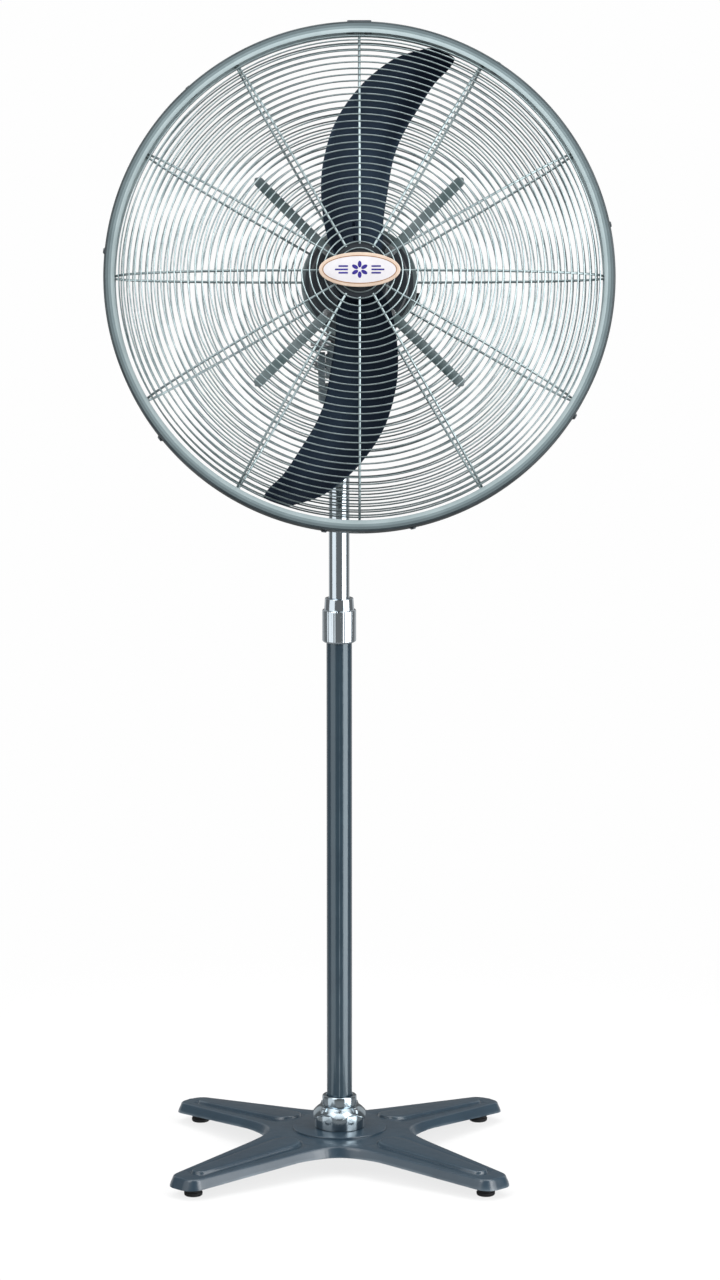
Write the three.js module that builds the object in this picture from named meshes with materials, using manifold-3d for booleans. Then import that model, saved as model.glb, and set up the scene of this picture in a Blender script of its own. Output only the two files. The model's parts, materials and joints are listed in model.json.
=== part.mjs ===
// Pedestal fan: a two-blade industrial fan head on a telescopic pole and a four-legged cast base.
// Millimetres, +Z up, air blows towards -Y. The origin is on the floor, under the middle of the
// object's bounding box.

import * as THREE from 'three';
import { mergeVertices } from 'three/addons/utils/BufferGeometryUtils.js';
import Module from 'manifold-3d';

const wasm = await Module();
wasm.setup();

// ---------------------------------------------------------------- driving dimensions

const GAP = 0.4; // air between two pieces that touch in the real object
const COARSE = 8; // facets round a screw or a pin
const ROUND = 16; // facets round a tube
const FINE = 24; // facets round the motor

// base
const FOOT_SPREAD = 233; // a foot's distance from the pole axis, along X and along Y
const FOOT_RADIUS = 15;
const FOOT_HEIGHT = 16;
const LEG_TIP = 364; // radius of the legs' ends
const LEG_TIP_HALF = 32;
const LEG_ROOT = 60;
const LEG_ROOT_HALF = 72;
const LEG_SIDE_DRAFT = 8; // how far a leg's sides lean in
const LEG_BEND = 150; // radius from which a leg's underside falls towards its foot
const BASE_TOP = 49;
const LEG_TIP_TOP = 33;
const BASE_UNDERSIDE = 31;
const CASTING_WALL = 7;
const HUB_PAD_RADIUS = 76;
const HUB_PAD_TOP = 52.5;
const COLUMN_RADIUS = 43; // the column under the middle of the casting, for the flange's bolts
const COLUMN_BOTTOM = 22;
const WEB_REACH = 150; // the web's corners lie on the legs at this radius
const WEB_WAIST = 112;
const WEB_SPREAD = 0.42; // the corners' angle to each side of a leg
const PANEL_START = 128; // centres of the round ends of the raised panel on a leg
const PANEL_END = 312;
const PANEL_WIDE = 27;
const PANEL_NARROW = 15;
const PANEL_RISE = 3.5;

// pole
const FLANGE_SKIRT_RADIUS = 41.5;
const FLANGE_CAP_RADIUS = 44;
const FLANGE_LOBES = 6; // round the cap's edge, one of them at the front
const FLANGE_LOBE_DEPTH = 2.4;
const FLANGE_CAP_BOTTOM = 73;
const FLANGE_CAP_TOP = 90;
const FLANGE_COLLAR_RADIUS = 28;
const FLANGE_TOP = 106;
const BOLT_CIRCLE = 35;
const BOLT_SEAT = 83;
const BOLT_HOLE_RADIUS = 3.6;
const LOWER_TUBE_RADIUS = 20.5;
const UPPER_TUBE_RADIUS = 16.5;
const TUBE_WALL = 2;
const LOWER_TUBE_TOP = 872;
const COLLAR_BOTTOM = 855;
const COLLAR_SHOULDER = 908.5;
const COLLAR_TOP = 927;
const COLLAR_RADIUS = 27.4;
const UPPER_TUBE_BOTTOM = 586;

// neck
const YOKE_BOTTOM = 1242;
const YOKE_BASE_TOP = 1272;
const YOKE_RADIUS = 33;
const CHEEK_INSIDE = 22;
const CHEEK_RADIUS = 22;
const TILT_AXIS_HEIGHT = 1302;
const TILT_BOLT_RADIUS = 4;
const REST_TILT = THREE.MathUtils.degToRad(12); // the head looks up by this much at rest

// head, in a frame at the tilt axis that tilts with the head: X right, Y back, Z up
const MOTOR_OFFSET = 32; // the motor axis lies this far to +X of the pole
const MOTOR_HEIGHT = 122; // and this far above the tilt axis
const PIVOT_RADIUS = 6;
const NECK_TOP = 30;
const LINK_ARM = 34; // from the swing pivot to the link pin, towards -X
const CRANK_BACK = 70; // from the swing pivot back to the crank's axis
const CRANK_ARM = 23;

// motor, in a frame on the motor axis: X right, Y up, Z forwards from the swing pivot
const MOTOR_RADIUS = 84;
const MOTOR_WALL = 4;
const MOTOR_REAR = -34;
const MOTOR_SPLIT = 60;
const MOTOR_FRONT = 101;
const SHAFT_RADIUS = 8;
const SHAFT_TIP = 214;
const BEARING_RADIUS = 17.6;

// impeller and guards, on the motor axis
const RIM_PLANE = 184;
const HUB_RADIUS = 42;
const HUB_HALF_LENGTH = 24;
const BLADE_THICKNESS = 3;
const RIM_RADIUS = 400;
const RIM_FRONT = 20; // the rim hoop's edges, from the rim plane
const RIM_REAR = -34;
const RIM_LIP = 18; // the hoop is a channel whose lips hold the guards' edge wires
const RIM_SHEET = 2;
const GUARD_RADIUS = 393; // of the edge wires
const DOME_RADIUS = 379; // where the ribs turn outwards into the hoop
const FRONT_GUARD = { edge: 14.6, apex: 100 };
const REAR_GUARD = { edge: -29, apex: -80 };
const RIB_COUNT = 12;
const RIB_WIRE = 2.2; // half thicknesses of the guards' wires
const RING_WIRE = 1.4;
const EDGE_WIRE = 2.4;
const RING_START = 97; // one ring in twelve of the real guard's
const RING_PITCH = 132;
const RING_COUNT = 3;
const STRAP_WIDTH = 16;
const STRAP_THICKNESS = 3;
const STRAP_INNER = 60;
const STRAP_OUTER = 232;
const BADGE_WIDTH = 126;
const BADGE_HEIGHT = 54;

// The clamping bolts' places round the rim, in degrees, anticlockwise from +X as seen from the front.
const CLIP_ANGLES = [12, 57, 132, 174, 219, 262, 282, 327];
const JOINT_PLATE_ANGLE = 90;
const JOINT_BOLT_SPREAD = 14; // the joint plate's bolts stand this far to each side of its middle
const JOINT_SPLIT = 1; // the hoop's ends stand this far apart under the joint plate
const RIM_MIDDLE = -7; // the bolts' distance from the rim plane
const CLIP_BOLT_RADIUS = 2.5;
const CLIP_HOLE_RADIUS = 3;
const CLAMP_INNER = 387; // the clamp plates bear on the guards' edge wires from the inside
const CLAMP_THICKNESS = 2;
const CLAMP_HALF = 6;
const CLAMP_REAR = -31;
const CLAMP_FRONT = 17;

// One blade, from the hub outwards: the trailing and the leading edge as seen from the front
// (X right, Y up from the motor axis) and the pitch of the blade there, in degrees.
const BLADE_STATIONS = [
  { trailing: [-34, 22], leading: [30, 18], pitch: 35 },
  { trailing: [-50, 58], leading: [36, 50], pitch: 34 },
  { trailing: [-58, 100], leading: [38, 92], pitch: 32 },
  { trailing: [-60, 145], leading: [45, 140], pitch: 29 },
  { trailing: [-55, 185], leading: [54, 190], pitch: 27 },
  { trailing: [-42, 230], leading: [70, 230], pitch: 25 },
  { trailing: [-20, 270], leading: [93, 268], pitch: 23 },
  { trailing: [14, 310], leading: [118, 306], pitch: 20 },
  { trailing: [58, 343], leading: [140, 328], pitch: 18 },
  { trailing: [104, 358], leading: [149, 341], pitch: 16 },
];

// ---------------------------------------------------------------- materials

function material(color, roughness, metalness) {
  return new THREE.MeshStandardMaterial({ color, roughness, metalness });
}

const basePaint = () => material(0x536876, 0.42, 0.2);
const neckPaint = () => material(0x5e6c74, 0.45, 0.2);
const motorPaint = () => material(0x2b3238, 0.5, 0.2);
const rimPaint = () => material(0x9aa8ae, 0.4, 0.3);
const strapPaint = () => material(0x66747d, 0.5, 0.2);
const bladePaint = () => material(0x0c0d14, 0.12, 0.1);
const chrome = () => material(0xc9cdd0, 0.12, 1);
const steel = () => material(0x9a9ca0, 0.35, 1);
const brass = () => material(0xb08d4a, 0.35, 1);
const copper = () => material(0x8d5a34, 0.5, 0.6);
const rubber = () => material(0x16171a, 0.85, 0);
const blackPlastic = () => material(0x1b1c1f, 0.5, 0);
const nylon = () => material(0xd8d6cc, 0.6, 0);
const badgeWhite = () => material(0xf2efe2, 0.3, 0);

// ---------------------------------------------------------------- solids

// Vertices merged, triangles without area dropped, faces turned outwards.
function closed(geometry) {
  const bare = geometry.clone();
  bare.deleteAttribute('normal');
  bare.deleteAttribute('uv');
  const welded = mergeVertices(bare, 1e-4);
  const points = welded.attributes.position;
  const corners = [new THREE.Vector3(), new THREE.Vector3(), new THREE.Vector3()];
  const triangles = [];
  let volume = 0;
  for (let i = 0; i < welded.index.count; i += 3) {
    const ids = [0, 1, 2].map((k) => welded.index.getX(i + k));
    if (new Set(ids).size < 3) continue;
    ids.forEach((id, k) => corners[k].fromBufferAttribute(points, id));
    volume += corners[0].dot(corners[1].clone().cross(corners[2]));
    triangles.push(ids);
  }
  if (volume < 0) triangles.forEach((ids) => ids.reverse());
  welded.setIndex(triangles.flat());
  return welded;
}

function toSolid(geometry) {
  const welded = closed(geometry);
  const mesh = new wasm.Mesh({
    numProp: 3,
    vertProperties: new Float32Array(welded.attributes.position.array),
    triVerts: new Uint32Array(welded.index.array),
  });
  return new wasm.Manifold(mesh);
}

function toGeometry(solid) {
  const mesh = solid.getMesh();
  const geometry = new THREE.BufferGeometry();
  geometry.setAttribute('position', new THREE.BufferAttribute(mesh.vertProperties, 3));
  geometry.setIndex(new THREE.BufferAttribute(mesh.triVerts, 1));
  return geometry;
}

function join(...geometries) {
  return toGeometry(geometries.map(toSolid).reduce((whole, piece) => whole.add(piece)));
}

function cut(body, ...tools) {
  return toGeometry(tools.map(toSolid).reduce((rest, tool) => rest.subtract(tool), toSolid(body)));
}

function meet(first, second) {
  return toGeometry(toSolid(first).intersect(toSolid(second)));
}

// A solid of revolution about Z from [radius, height] points. A profile that doesn't start on
// the axis closes on itself.
function revolve(profile, facets = ROUND) {
  const points = profile.map(([radius, height]) => new THREE.Vector2(radius, height));
  if (profile[0][0] > 0) points.push(points[0].clone());
  return new THREE.LatheGeometry(points, facets).rotateX(Math.PI / 2);
}

function rod(radius, low, high, facets = COARSE) {
  return revolve([[0, low], [radius, low], [radius, high], [0, high]], facets);
}

function sleeve(inside, outside, low, high, facets = ROUND) {
  return revolve([[inside, low], [outside, low], [outside, high], [inside, high]], facets);
}

function block(x0, x1, y0, y1, z0, z1) {
  const box = new THREE.BoxGeometry(x1 - x0, y1 - y0, z1 - z0);
  return box.translate((x0 + x1) / 2, (y0 + y1) / 2, (z0 + z1) / 2);
}

// A block whose edges along Z are rounded.
function roundedBlock(x0, x1, y0, y1, z0, z1, radius) {
  const shape = new THREE.Shape();
  shape.absarc(x1 - radius, y1 - radius, radius, 0, Math.PI / 2);
  shape.absarc(x0 + radius, y1 - radius, radius, Math.PI / 2, Math.PI);
  shape.absarc(x0 + radius, y0 + radius, radius, Math.PI, 1.5 * Math.PI);
  shape.absarc(x1 - radius, y0 + radius, radius, 1.5 * Math.PI, 2 * Math.PI);
  return prism(shape, z0, z1, 4);
}

function prism(shape, low, high, curveSegments = 6) {
  const options = { depth: high - low, bevelEnabled: false, curveSegments };
  return new THREE.ExtrudeGeometry(shape, options).translate(0, 0, low);
}

// A closed skin over rings of points with equal counts, with a zigzag cap on each end.
function loft(rings) {
  const count = rings[0].length;
  const positions = rings.flat().flatMap((point) => point.toArray());
  const index = [];
  for (let ring = 0; ring < rings.length - 1; ring += 1) {
    for (let k = 0; k < count; k += 1) {
      const a = ring * count + k;
      const b = ring * count + ((k + 1) % count);
      index.push(a, b, b + count, a, b + count, a + count);
    }
  }
  const last = (rings.length - 1) * count;
  for (let low = 0, high = count - 1; high - low > 1; low += 1, high -= 1) {
    index.push(low, high, low + 1, last + low, last + low + 1, last + high);
    if (high - low > 2) {
      index.push(low + 1, high, high - 1, last + low + 1, last + high - 1, last + high);
    }
  }
  const geometry = new THREE.BufferGeometry();
  geometry.setAttribute('position', new THREE.Float32BufferAttribute(positions, 3));
  geometry.setIndex(index);
  return geometry;
}

function addPart(parent, name, geometry, look) {
  const mesh = new THREE.Mesh(closed(geometry), look);
  mesh.name = name;
  parent.add(mesh);
  return mesh;
}

// ---------------------------------------------------------------- base

// A leg's cross-section at a distance from the pole: a trapezium with sloping sides.
function legSection(radius, half, low, high, draft) {
  return [
    new THREE.Vector3(radius, -half, low),
    new THREE.Vector3(radius, -half + draft, high - 3),
    new THREE.Vector3(radius, -half + draft + 3, high),
    new THREE.Vector3(radius, half - draft - 3, high),
    new THREE.Vector3(radius, half - draft, high - 3),
    new THREE.Vector3(radius, half, low),
  ];
}

// A leg that runs along +X. The inset shrinks it on every side, for the hollow underneath.
function leg(inset, low) {
  const slope = (LEG_ROOT_HALF - LEG_TIP_HALF) / (LEG_TIP - LEG_ROOT);
  const half = (radius) => LEG_ROOT_HALF - slope * (radius - LEG_ROOT) - inset;
  const topSlope = (BASE_TOP - LEG_TIP_TOP) / (LEG_TIP - HUB_PAD_RADIUS);
  const top = (radius) => BASE_TOP - topSlope * Math.max(radius - HUB_PAD_RADIUS, 0) - inset;
  const floorSlope = (BASE_UNDERSIDE - FOOT_HEIGHT) / (LEG_TIP - LEG_BEND);
  const floor = (radius) => low ?? BASE_UNDERSIDE - floorSlope * Math.max(radius - LEG_BEND, 0);
  const end = LEG_TIP - inset;
  const radii = [LEG_ROOT, LEG_BEND, 260, end - 24];
  const rings = radii.map((r) => legSection(r, half(r), floor(r), top(r), LEG_SIDE_DRAFT));
  rings.push(legSection(end - 8, half(end) - 4, floor(end), top(end), LEG_SIDE_DRAFT - 1));
  rings.push(legSection(end + 2, half(end) - 12, floor(end), top(end) - 12, 3));
  return loft(rings);
}

// The web between the legs: four hollow curves from leg to leg.
function webShape() {
  const shape = new THREE.Shape();
  const corner = (quarter, offset) => {
    const angle = (quarter * Math.PI) / 2 + offset;
    return [WEB_REACH * Math.cos(angle), WEB_REACH * Math.sin(angle)];
  };
  shape.moveTo(...corner(0, WEB_SPREAD));
  for (let quarter = 0; quarter < 4; quarter += 1) {
    const middle = (quarter * Math.PI) / 2 + Math.PI / 4;
    const [x, y] = corner(quarter + 1, -WEB_SPREAD);
    shape.quadraticCurveTo(WEB_WAIST * Math.cos(middle), WEB_WAIST * Math.sin(middle), x, y);
    shape.lineTo(...corner(quarter + 1, WEB_SPREAD));
  }
  return shape;
}

function legPanel() {
  const shape = new THREE.Shape();
  shape.absarc(PANEL_END, 0, PANEL_NARROW, -Math.PI / 2, Math.PI / 2);
  shape.absarc(PANEL_START, 0, PANEL_WIDE, Math.PI / 2, 1.5 * Math.PI);
  const panel = prism(shape, -6, 0, 4);
  const slope = Math.atan((BASE_TOP - LEG_TIP_TOP) / (LEG_TIP - HUB_PAD_RADIUS));
  panel.translate(-HUB_PAD_RADIUS, 0, PANEL_RISE).rotateY(slope);
  return panel.translate(HUB_PAD_RADIUS, 0, BASE_TOP);
}

function quarterTurns(makeGeometry) {
  return [0, 1, 2, 3].map((quarter) => makeGeometry().rotateZ((quarter * Math.PI) / 2));
}

// The casting is made with its legs along X and Y and then turned by 45 degrees.
function baseCasting() {
  const legs = quarterTurns(() => leg(0));
  const panels = quarterTurns(legPanel);
  const web = prism(webShape(), BASE_UNDERSIDE, BASE_TOP, 5);
  const pad = rod(HUB_PAD_RADIUS, BASE_TOP - 4, HUB_PAD_TOP, FINE);
  const outside = join(web, ...legs, ...panels, pad);
  const hollows = quarterTurns(() => leg(CASTING_WALL, 0));
  const hubHollow = sleeve(COLUMN_RADIUS, 96, 0, BASE_TOP - CASTING_WALL);
  const shell = cut(outside, ...hollows, hubHollow);
  const bosses = quarterTurns(() => rod(17, FOOT_HEIGHT, LEG_TIP_TOP).translate(footRadius(), 0, 0));
  const column = rod(COLUMN_RADIUS, COLUMN_BOTTOM, BASE_TOP);
  const holes = boltPlaces().map(([x, y]) => (
    rod(BOLT_HOLE_RADIUS, COLUMN_BOTTOM - 5, HUB_PAD_TOP + 5).translate(x, y, 0)
  ));
  return cut(join(shell, column, ...bosses).rotateZ(Math.PI / 4), ...holes);
}

function footRadius() {
  return FOOT_SPREAD * Math.SQRT2;
}

// The flange's bolts stand in line with the legs.
function boltPlaces() {
  return [0, 1, 2, 3].map((quarter) => {
    const angle = (quarter * Math.PI) / 2 + Math.PI / 4;
    return [BOLT_CIRCLE * Math.cos(angle), BOLT_CIRCLE * Math.sin(angle)];
  });
}

function foot() {
  const top = FOOT_HEIGHT - GAP;
  return revolve([[0, 0], [FOOT_RADIUS - 2, 0], [FOOT_RADIUS, 3], [FOOT_RADIUS, top], [0, top]], 16);
}

// The outline of the flange's cap, with a lobe towards the front.
function lobedShape() {
  const shape = new THREE.Shape();
  const count = 12 * FLANGE_LOBES;
  for (let k = 0; k < count; k += 1) {
    const angle = (k * 2 * Math.PI) / count - Math.PI / 2;
    const lobe = Math.cos(FLANGE_LOBES * (angle + Math.PI / 2));
    const radius = FLANGE_CAP_RADIUS + FLANGE_LOBE_DEPTH * lobe;
    shape[k === 0 ? 'moveTo' : 'lineTo'](radius * Math.cos(angle), radius * Math.sin(angle));
  }
  return shape;
}

// A chromed skirt under a domed, lobed cap, with a collar that grips the lower tube. The dome
// is higher at the valleys between the lobes, because they lie nearer to the axis.
function baseFlange() {
  const dome = revolve([
    [0, FLANGE_CAP_BOTTOM],
    [48, FLANGE_CAP_BOTTOM],
    [48, FLANGE_CAP_BOTTOM + 1],
    [44, FLANGE_CAP_BOTTOM + 5],
    [39, FLANGE_CAP_BOTTOM + 10.5],
    [34, FLANGE_CAP_TOP - 2.5],
    [29, FLANGE_CAP_TOP],
    [0, FLANGE_CAP_TOP],
  ], 36);
  const cap = meet(dome, prism(lobedShape(), FLANGE_CAP_BOTTOM, FLANGE_CAP_TOP + 5));
  const skirt = rod(FLANGE_SKIRT_RADIUS, HUB_PAD_TOP + GAP, FLANGE_CAP_BOTTOM + 1, 36);
  const collar = rod(FLANGE_COLLAR_RADIUS, FLANGE_CAP_TOP - 3, FLANGE_TOP, FINE);
  const bore = rod(LOWER_TUBE_RADIUS + GAP, HUB_PAD_TOP + 4, FLANGE_TOP + 5, ROUND);
  const seats = boltPlaces().map(([x, y]) => (
    rod(7, BOLT_SEAT, FLANGE_CAP_TOP + 1, ROUND).translate(x, y, 0)
  ));
  const holes = boltPlaces().map(([x, y]) => (
    rod(BOLT_HOLE_RADIUS, HUB_PAD_TOP - 5, FLANGE_TOP).translate(x, y, 0)
  ));
  return cut(join(cut(join(cap, skirt), ...seats), collar), bore, ...holes);
}

function hexBolt(radius, headHeight, shankRadius, shankLength) {
  return join(rod(radius, 0, headHeight, 6), rod(shankRadius, -shankLength, 1, COARSE));
}

function addBase(parent) {
  addPart(parent, 'base_casting', baseCasting(), basePaint());
  const sides = { fl: [-1, -1], fr: [1, -1], bl: [-1, 1], br: [1, 1] };
  for (const [name, [x, y]] of Object.entries(sides)) {
    const pad = addPart(parent, `foot_${name}`, foot(), rubber());
    pad.position.set(x * FOOT_SPREAD, y * FOOT_SPREAD, 0);
  }
  addPart(parent, 'base_flange', baseFlange(), chrome());
  boltPlaces().forEach(([x, y], k) => {
    const bolt = addPart(parent, `flange_bolt_${k + 1}`, hexBolt(5.6, 5, 3, 42), chrome());
    bolt.position.set(x, y, BOLT_SEAT + GAP);
  });
}

// ---------------------------------------------------------------- pole

function ribbedCollar() {
  const teeth = new THREE.Shape();
  const count = 16;
  for (let k = 0; k < 2 * count; k += 1) {
    const angle = (k * Math.PI) / count;
    const radius = COLLAR_RADIUS - (k % 2 ? 0 : 1.4);
    teeth[k === 0 ? 'moveTo' : 'lineTo'](radius * Math.cos(angle), radius * Math.sin(angle));
  }
  const ribs = prism(teeth, COLLAR_BOTTOM + 2, COLLAR_SHOULDER);
  const cone = revolve([
    [0, COLLAR_BOTTOM],
    [24, COLLAR_BOTTOM],
    [24, COLLAR_SHOULDER + 1],
    [22.8, COLLAR_TOP],
    [0, COLLAR_TOP],
  ]);
  const tubeBore = rod(LOWER_TUBE_RADIUS + 0.8, COLLAR_BOTTOM - 5, LOWER_TUBE_TOP + 6, ROUND);
  const mastBore = rod(UPPER_TUBE_RADIUS + 0.6, COLLAR_BOTTOM, COLLAR_TOP + 5, ROUND);
  return cut(join(ribs, cone), tubeBore, mastBore);
}

function addPole(parent) {
  const tubeInside = LOWER_TUBE_RADIUS - TUBE_WALL;
  const lowerBottom = HUB_PAD_TOP + 4 + GAP;
  const lower = sleeve(tubeInside, LOWER_TUBE_RADIUS, lowerBottom, LOWER_TUBE_TOP);
  addPart(parent, 'lower_tube', lower, basePaint());
  const bush = sleeve(UPPER_TUBE_RADIUS + 0.3, tubeInside - 0.3, LOWER_TUBE_TOP - 60, LOWER_TUBE_TOP);
  addPart(parent, 'pole_bush', bush, nylon());
  addPart(parent, 'lock_collar', ribbedCollar(), chrome());
  const upperTop = YOKE_BOTTOM + 22;
  const upper = sleeve(UPPER_TUBE_RADIUS - TUBE_WALL, UPPER_TUBE_RADIUS, UPPER_TUBE_BOTTOM, upperTop);
  addPart(parent, 'upper_tube', upper, chrome());
  const plug = revolve([
    [0, UPPER_TUBE_BOTTOM - 8],
    [tubeInside - 0.5, UPPER_TUBE_BOTTOM - 8],
    [tubeInside - 0.5, UPPER_TUBE_BOTTOM - GAP],
    [UPPER_TUBE_RADIUS - TUBE_WALL - 0.5, UPPER_TUBE_BOTTOM - GAP],
    [UPPER_TUBE_RADIUS - TUBE_WALL - 0.5, UPPER_TUBE_BOTTOM + 15],
    [0, UPPER_TUBE_BOTTOM + 15],
  ]);
  addPart(parent, 'tube_plug', plug, nylon());
}

// ---------------------------------------------------------------- neck

// A rounded tongue in the Y-Z plane about the tilt axis, extruded along X.
function tongue(x0, x1, radius, bottom) {
  const shape = new THREE.Shape();
  shape.moveTo(-radius, bottom);
  shape.lineTo(radius, bottom);
  shape.absarc(0, 0, radius, 0, Math.PI);
  const solid = prism(shape, x0, x1, 8);
  return solid.rotateZ(Math.PI / 2).rotateY(Math.PI / 2);
}

function alongX(geometry) {
  return geometry.rotateY(Math.PI / 2);
}

// Heights in the yoke are from the tilt axis.
function neckYoke() {
  const bottom = YOKE_BOTTOM - TILT_AXIS_HEIGHT;
  const baseTop = YOKE_BASE_TOP - TILT_AXIS_HEIGHT;
  const base = rod(YOKE_RADIUS, bottom, baseTop, ROUND);
  const left = tongue(-YOKE_RADIUS, -CHEEK_INSIDE, CHEEK_RADIUS, baseTop - 6);
  const right = tongue(CHEEK_INSIDE, YOKE_RADIUS, CHEEK_RADIUS, baseTop - 6);
  const socket = rod(UPPER_TUBE_RADIUS + GAP, bottom - 5, bottom + 23, ROUND);
  const boltHole = alongX(rod(TILT_BOLT_RADIUS + GAP, -50, 50));
  const screwHole = rod(3.4, 0, 60).rotateX(-Math.PI / 2).translate(0, 10, bottom + 12);
  return cut(join(base, left, right), socket, boltHole, screwHole);
}

function tiltKnob() {
  const petals = [0, 1, 2].map((k) => {
    const angle = (k * 2 * Math.PI) / 3;
    return rod(8, 0, 14).translate(13 * Math.cos(angle), 13 * Math.sin(angle), 0);
  });
  const knob = join(rod(14, 0, 14, ROUND), rod(9, -6, 1, ROUND), ...petals);
  return cut(knob, rod(TILT_BOLT_RADIUS + 0.5, -8, 10));
}

function tiltBlock() {
  const width = CHEEK_INSIDE - GAP;
  const body = tongue(-width, width, 19, -19);
  const boss = rod(19, 10, NECK_TOP, ROUND);
  const armOutline = new THREE.Shape();
  armOutline.absarc(-LINK_ARM, 0, 9, Math.PI / 2, 1.5 * Math.PI);
  armOutline.lineTo(0, -14);
  armOutline.lineTo(0, 14);
  const arm = prism(armOutline, NECK_TOP - 5, NECK_TOP);
  const boltHole = alongX(rod(TILT_BOLT_RADIUS + GAP, -50, 50));
  const shaftHole = rod(PIVOT_RADIUS + GAP, 8, NECK_TOP + 5);
  const pinHole = rod(3.4, NECK_TOP - 20, NECK_TOP + 5).translate(-LINK_ARM, 0, 0);
  return cut(join(body, boss, arm), boltHole, shaftHole, pinHole);
}

function linkPin() {
  const top = NECK_TOP + 9.5;
  return join(rod(3, NECK_TOP - 5, top - 1), rod(9.5, top - 2, top)).translate(-LINK_ARM, 0, 0);
}

function addNeck(parent) {
  const axis = new THREE.Group();
  axis.position.z = TILT_AXIS_HEIGHT;
  parent.add(axis);
  addPart(axis, 'neck_yoke', neckYoke(), neckPaint());
  const screw = addPart(axis, 'yoke_screw', hexBolt(7, 6, 3, 13), steel());
  screw.rotation.x = -Math.PI / 2;
  screw.position.set(0, YOKE_RADIUS + GAP, YOKE_BOTTOM - TILT_AXIS_HEIGHT + 12);
  const reach = YOKE_RADIUS + GAP;
  const bolt = join(rod(TILT_BOLT_RADIUS, -reach - 1, reach + 13), rod(7.5, -reach - 6, -reach, 6));
  addPart(axis, 'tilt_bolt', alongX(bolt), steel());
  const knob = addPart(axis, 'tilt_knob', alongX(tiltKnob()), blackPlastic());
  knob.position.x = reach + 6 + GAP;
  return axis;
}

function addNeckBlock(head) {
  addPart(head, 'tilt_block', tiltBlock(), neckPaint());
  addPart(head, 'pivot_shaft', rod(PIVOT_RADIUS, 8 + GAP, NECK_TOP + 13), steel());
  addPart(head, 'link_pin', linkPin(), steel());
}

// ---------------------------------------------------------------- motor and gearbox

// Everything round the motor axis is built with Z forwards; this stands it in the head's frame.
function toAxle(geometry) {
  return geometry.rotateX(-Math.PI / 2).translate(-MOTOR_OFFSET, -MOTOR_HEIGHT, 0);
}

function motorShell() {
  const inside = MOTOR_RADIUS - MOTOR_WALL;
  const can = rod(MOTOR_RADIUS, MOTOR_REAR + 6, MOTOR_SPLIT, FINE);
  const back = revolve(
    [[0, MOTOR_REAR], [MOTOR_RADIUS - 7, MOTOR_REAR], [MOTOR_RADIUS, MOTOR_REAR + 7], [0, MOTOR_REAR + 7]],
    FINE,
  );
  const swingBoss = revolve([
    [0, NECK_TOP + GAP],
    [13, NECK_TOP + GAP],
    [13, NECK_TOP + 9],
    [19, NECK_TOP + 12],
    [19, NECK_TOP + 34],
    [0, NECK_TOP + 34],
  ]);
  const outside = join(can, back, toAxle(swingBoss));
  const cavity = rod(inside, MOTOR_REAR + 6, MOTOR_SPLIT + 5, FINE);
  const shaftHole = rod(SHAFT_RADIUS + 2, MOTOR_REAR - 5, MOTOR_REAR + 10, ROUND);
  const pivotHole = toAxle(rod(PIVOT_RADIUS + 0.5, NECK_TOP - 5, NECK_TOP + 14));
  const hollow = cut(outside, cavity, shaftHole, pivotHole);
  const seat = sleeve(BEARING_RADIUS + GAP, BEARING_RADIUS + 6, MOTOR_REAR + 5, MOTOR_REAR + 18);
  return join(hollow, seat);
}

function screwPlaces() {
  return [45, 135, 225, 315].map((degrees) => {
    const angle = THREE.MathUtils.degToRad(degrees);
    return [70 * Math.cos(angle), 70 * Math.sin(angle)];
  });
}

function frontBell() {
  const inside = MOTOR_RADIUS - MOTOR_WALL;
  const wall = MOTOR_FRONT - 6;
  const bell = revolve(
    [
      [SHAFT_RADIUS + 2, MOTOR_FRONT],
      [MOTOR_RADIUS - 8, MOTOR_FRONT],
      [MOTOR_RADIUS, MOTOR_FRONT - 8],
      [MOTOR_RADIUS, MOTOR_SPLIT + GAP],
      [inside, MOTOR_SPLIT + GAP],
      [inside, wall],
      [BEARING_RADIUS + 6, wall],
      [BEARING_RADIUS + 6, wall - 12],
      [BEARING_RADIUS + GAP, wall - 12],
      [BEARING_RADIUS + GAP, wall],
      [SHAFT_RADIUS + 2, wall],
    ],
    FINE,
  );
  const holes = screwPlaces().map(([x, y]) => rod(3, wall - 5, MOTOR_FRONT + 5, 8).translate(x, y, 0));
  return cut(bell, ...holes);
}

function bearing(low) {
  return sleeve(SHAFT_RADIUS + 0.3, BEARING_RADIUS, low, low + 10);
}

function motorShaft() {
  return join(rod(SHAFT_RADIUS, -92, SHAFT_TIP, 16), rod(SHAFT_RADIUS + 1, -90, -50, 16));
}

// The gearbox stands behind the motor and reaches down to the crank on the left of the axis.
function gearboxHousing() {
  const front = MOTOR_REAR - GAP;
  const rear = front - 72;
  const housing = roundedBlock(-60, 46, -46, 46, rear, front, 10);
  const chamber = roundedBlock(-55, 41, -41, 41, rear + 5, front + 5, 6);
  const tower = toAxle(block(-20, 20, CRANK_BACK - 20, CRANK_BACK + 20, 48, 78));
  const shaftHole = toAxle(rod(5.5, 40, 85).translate(0, CRANK_BACK, 0));
  const clutchHole = toAxle(rod(4.5, 160, 180).translate(0, CRANK_BACK, 0));
  return cut(join(cut(housing, chamber), tower), shaftHole, clutchHole);
}

function crank() {
  const disc = rod(30, 38, 45, ROUND);
  const shaft = rod(5, 44, 116);
  const pin = rod(4, 31.5, 39).translate(-CRANK_ARM, 0, 0);
  return join(disc, shaft, pin).translate(0, CRANK_BACK, 0);
}

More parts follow.
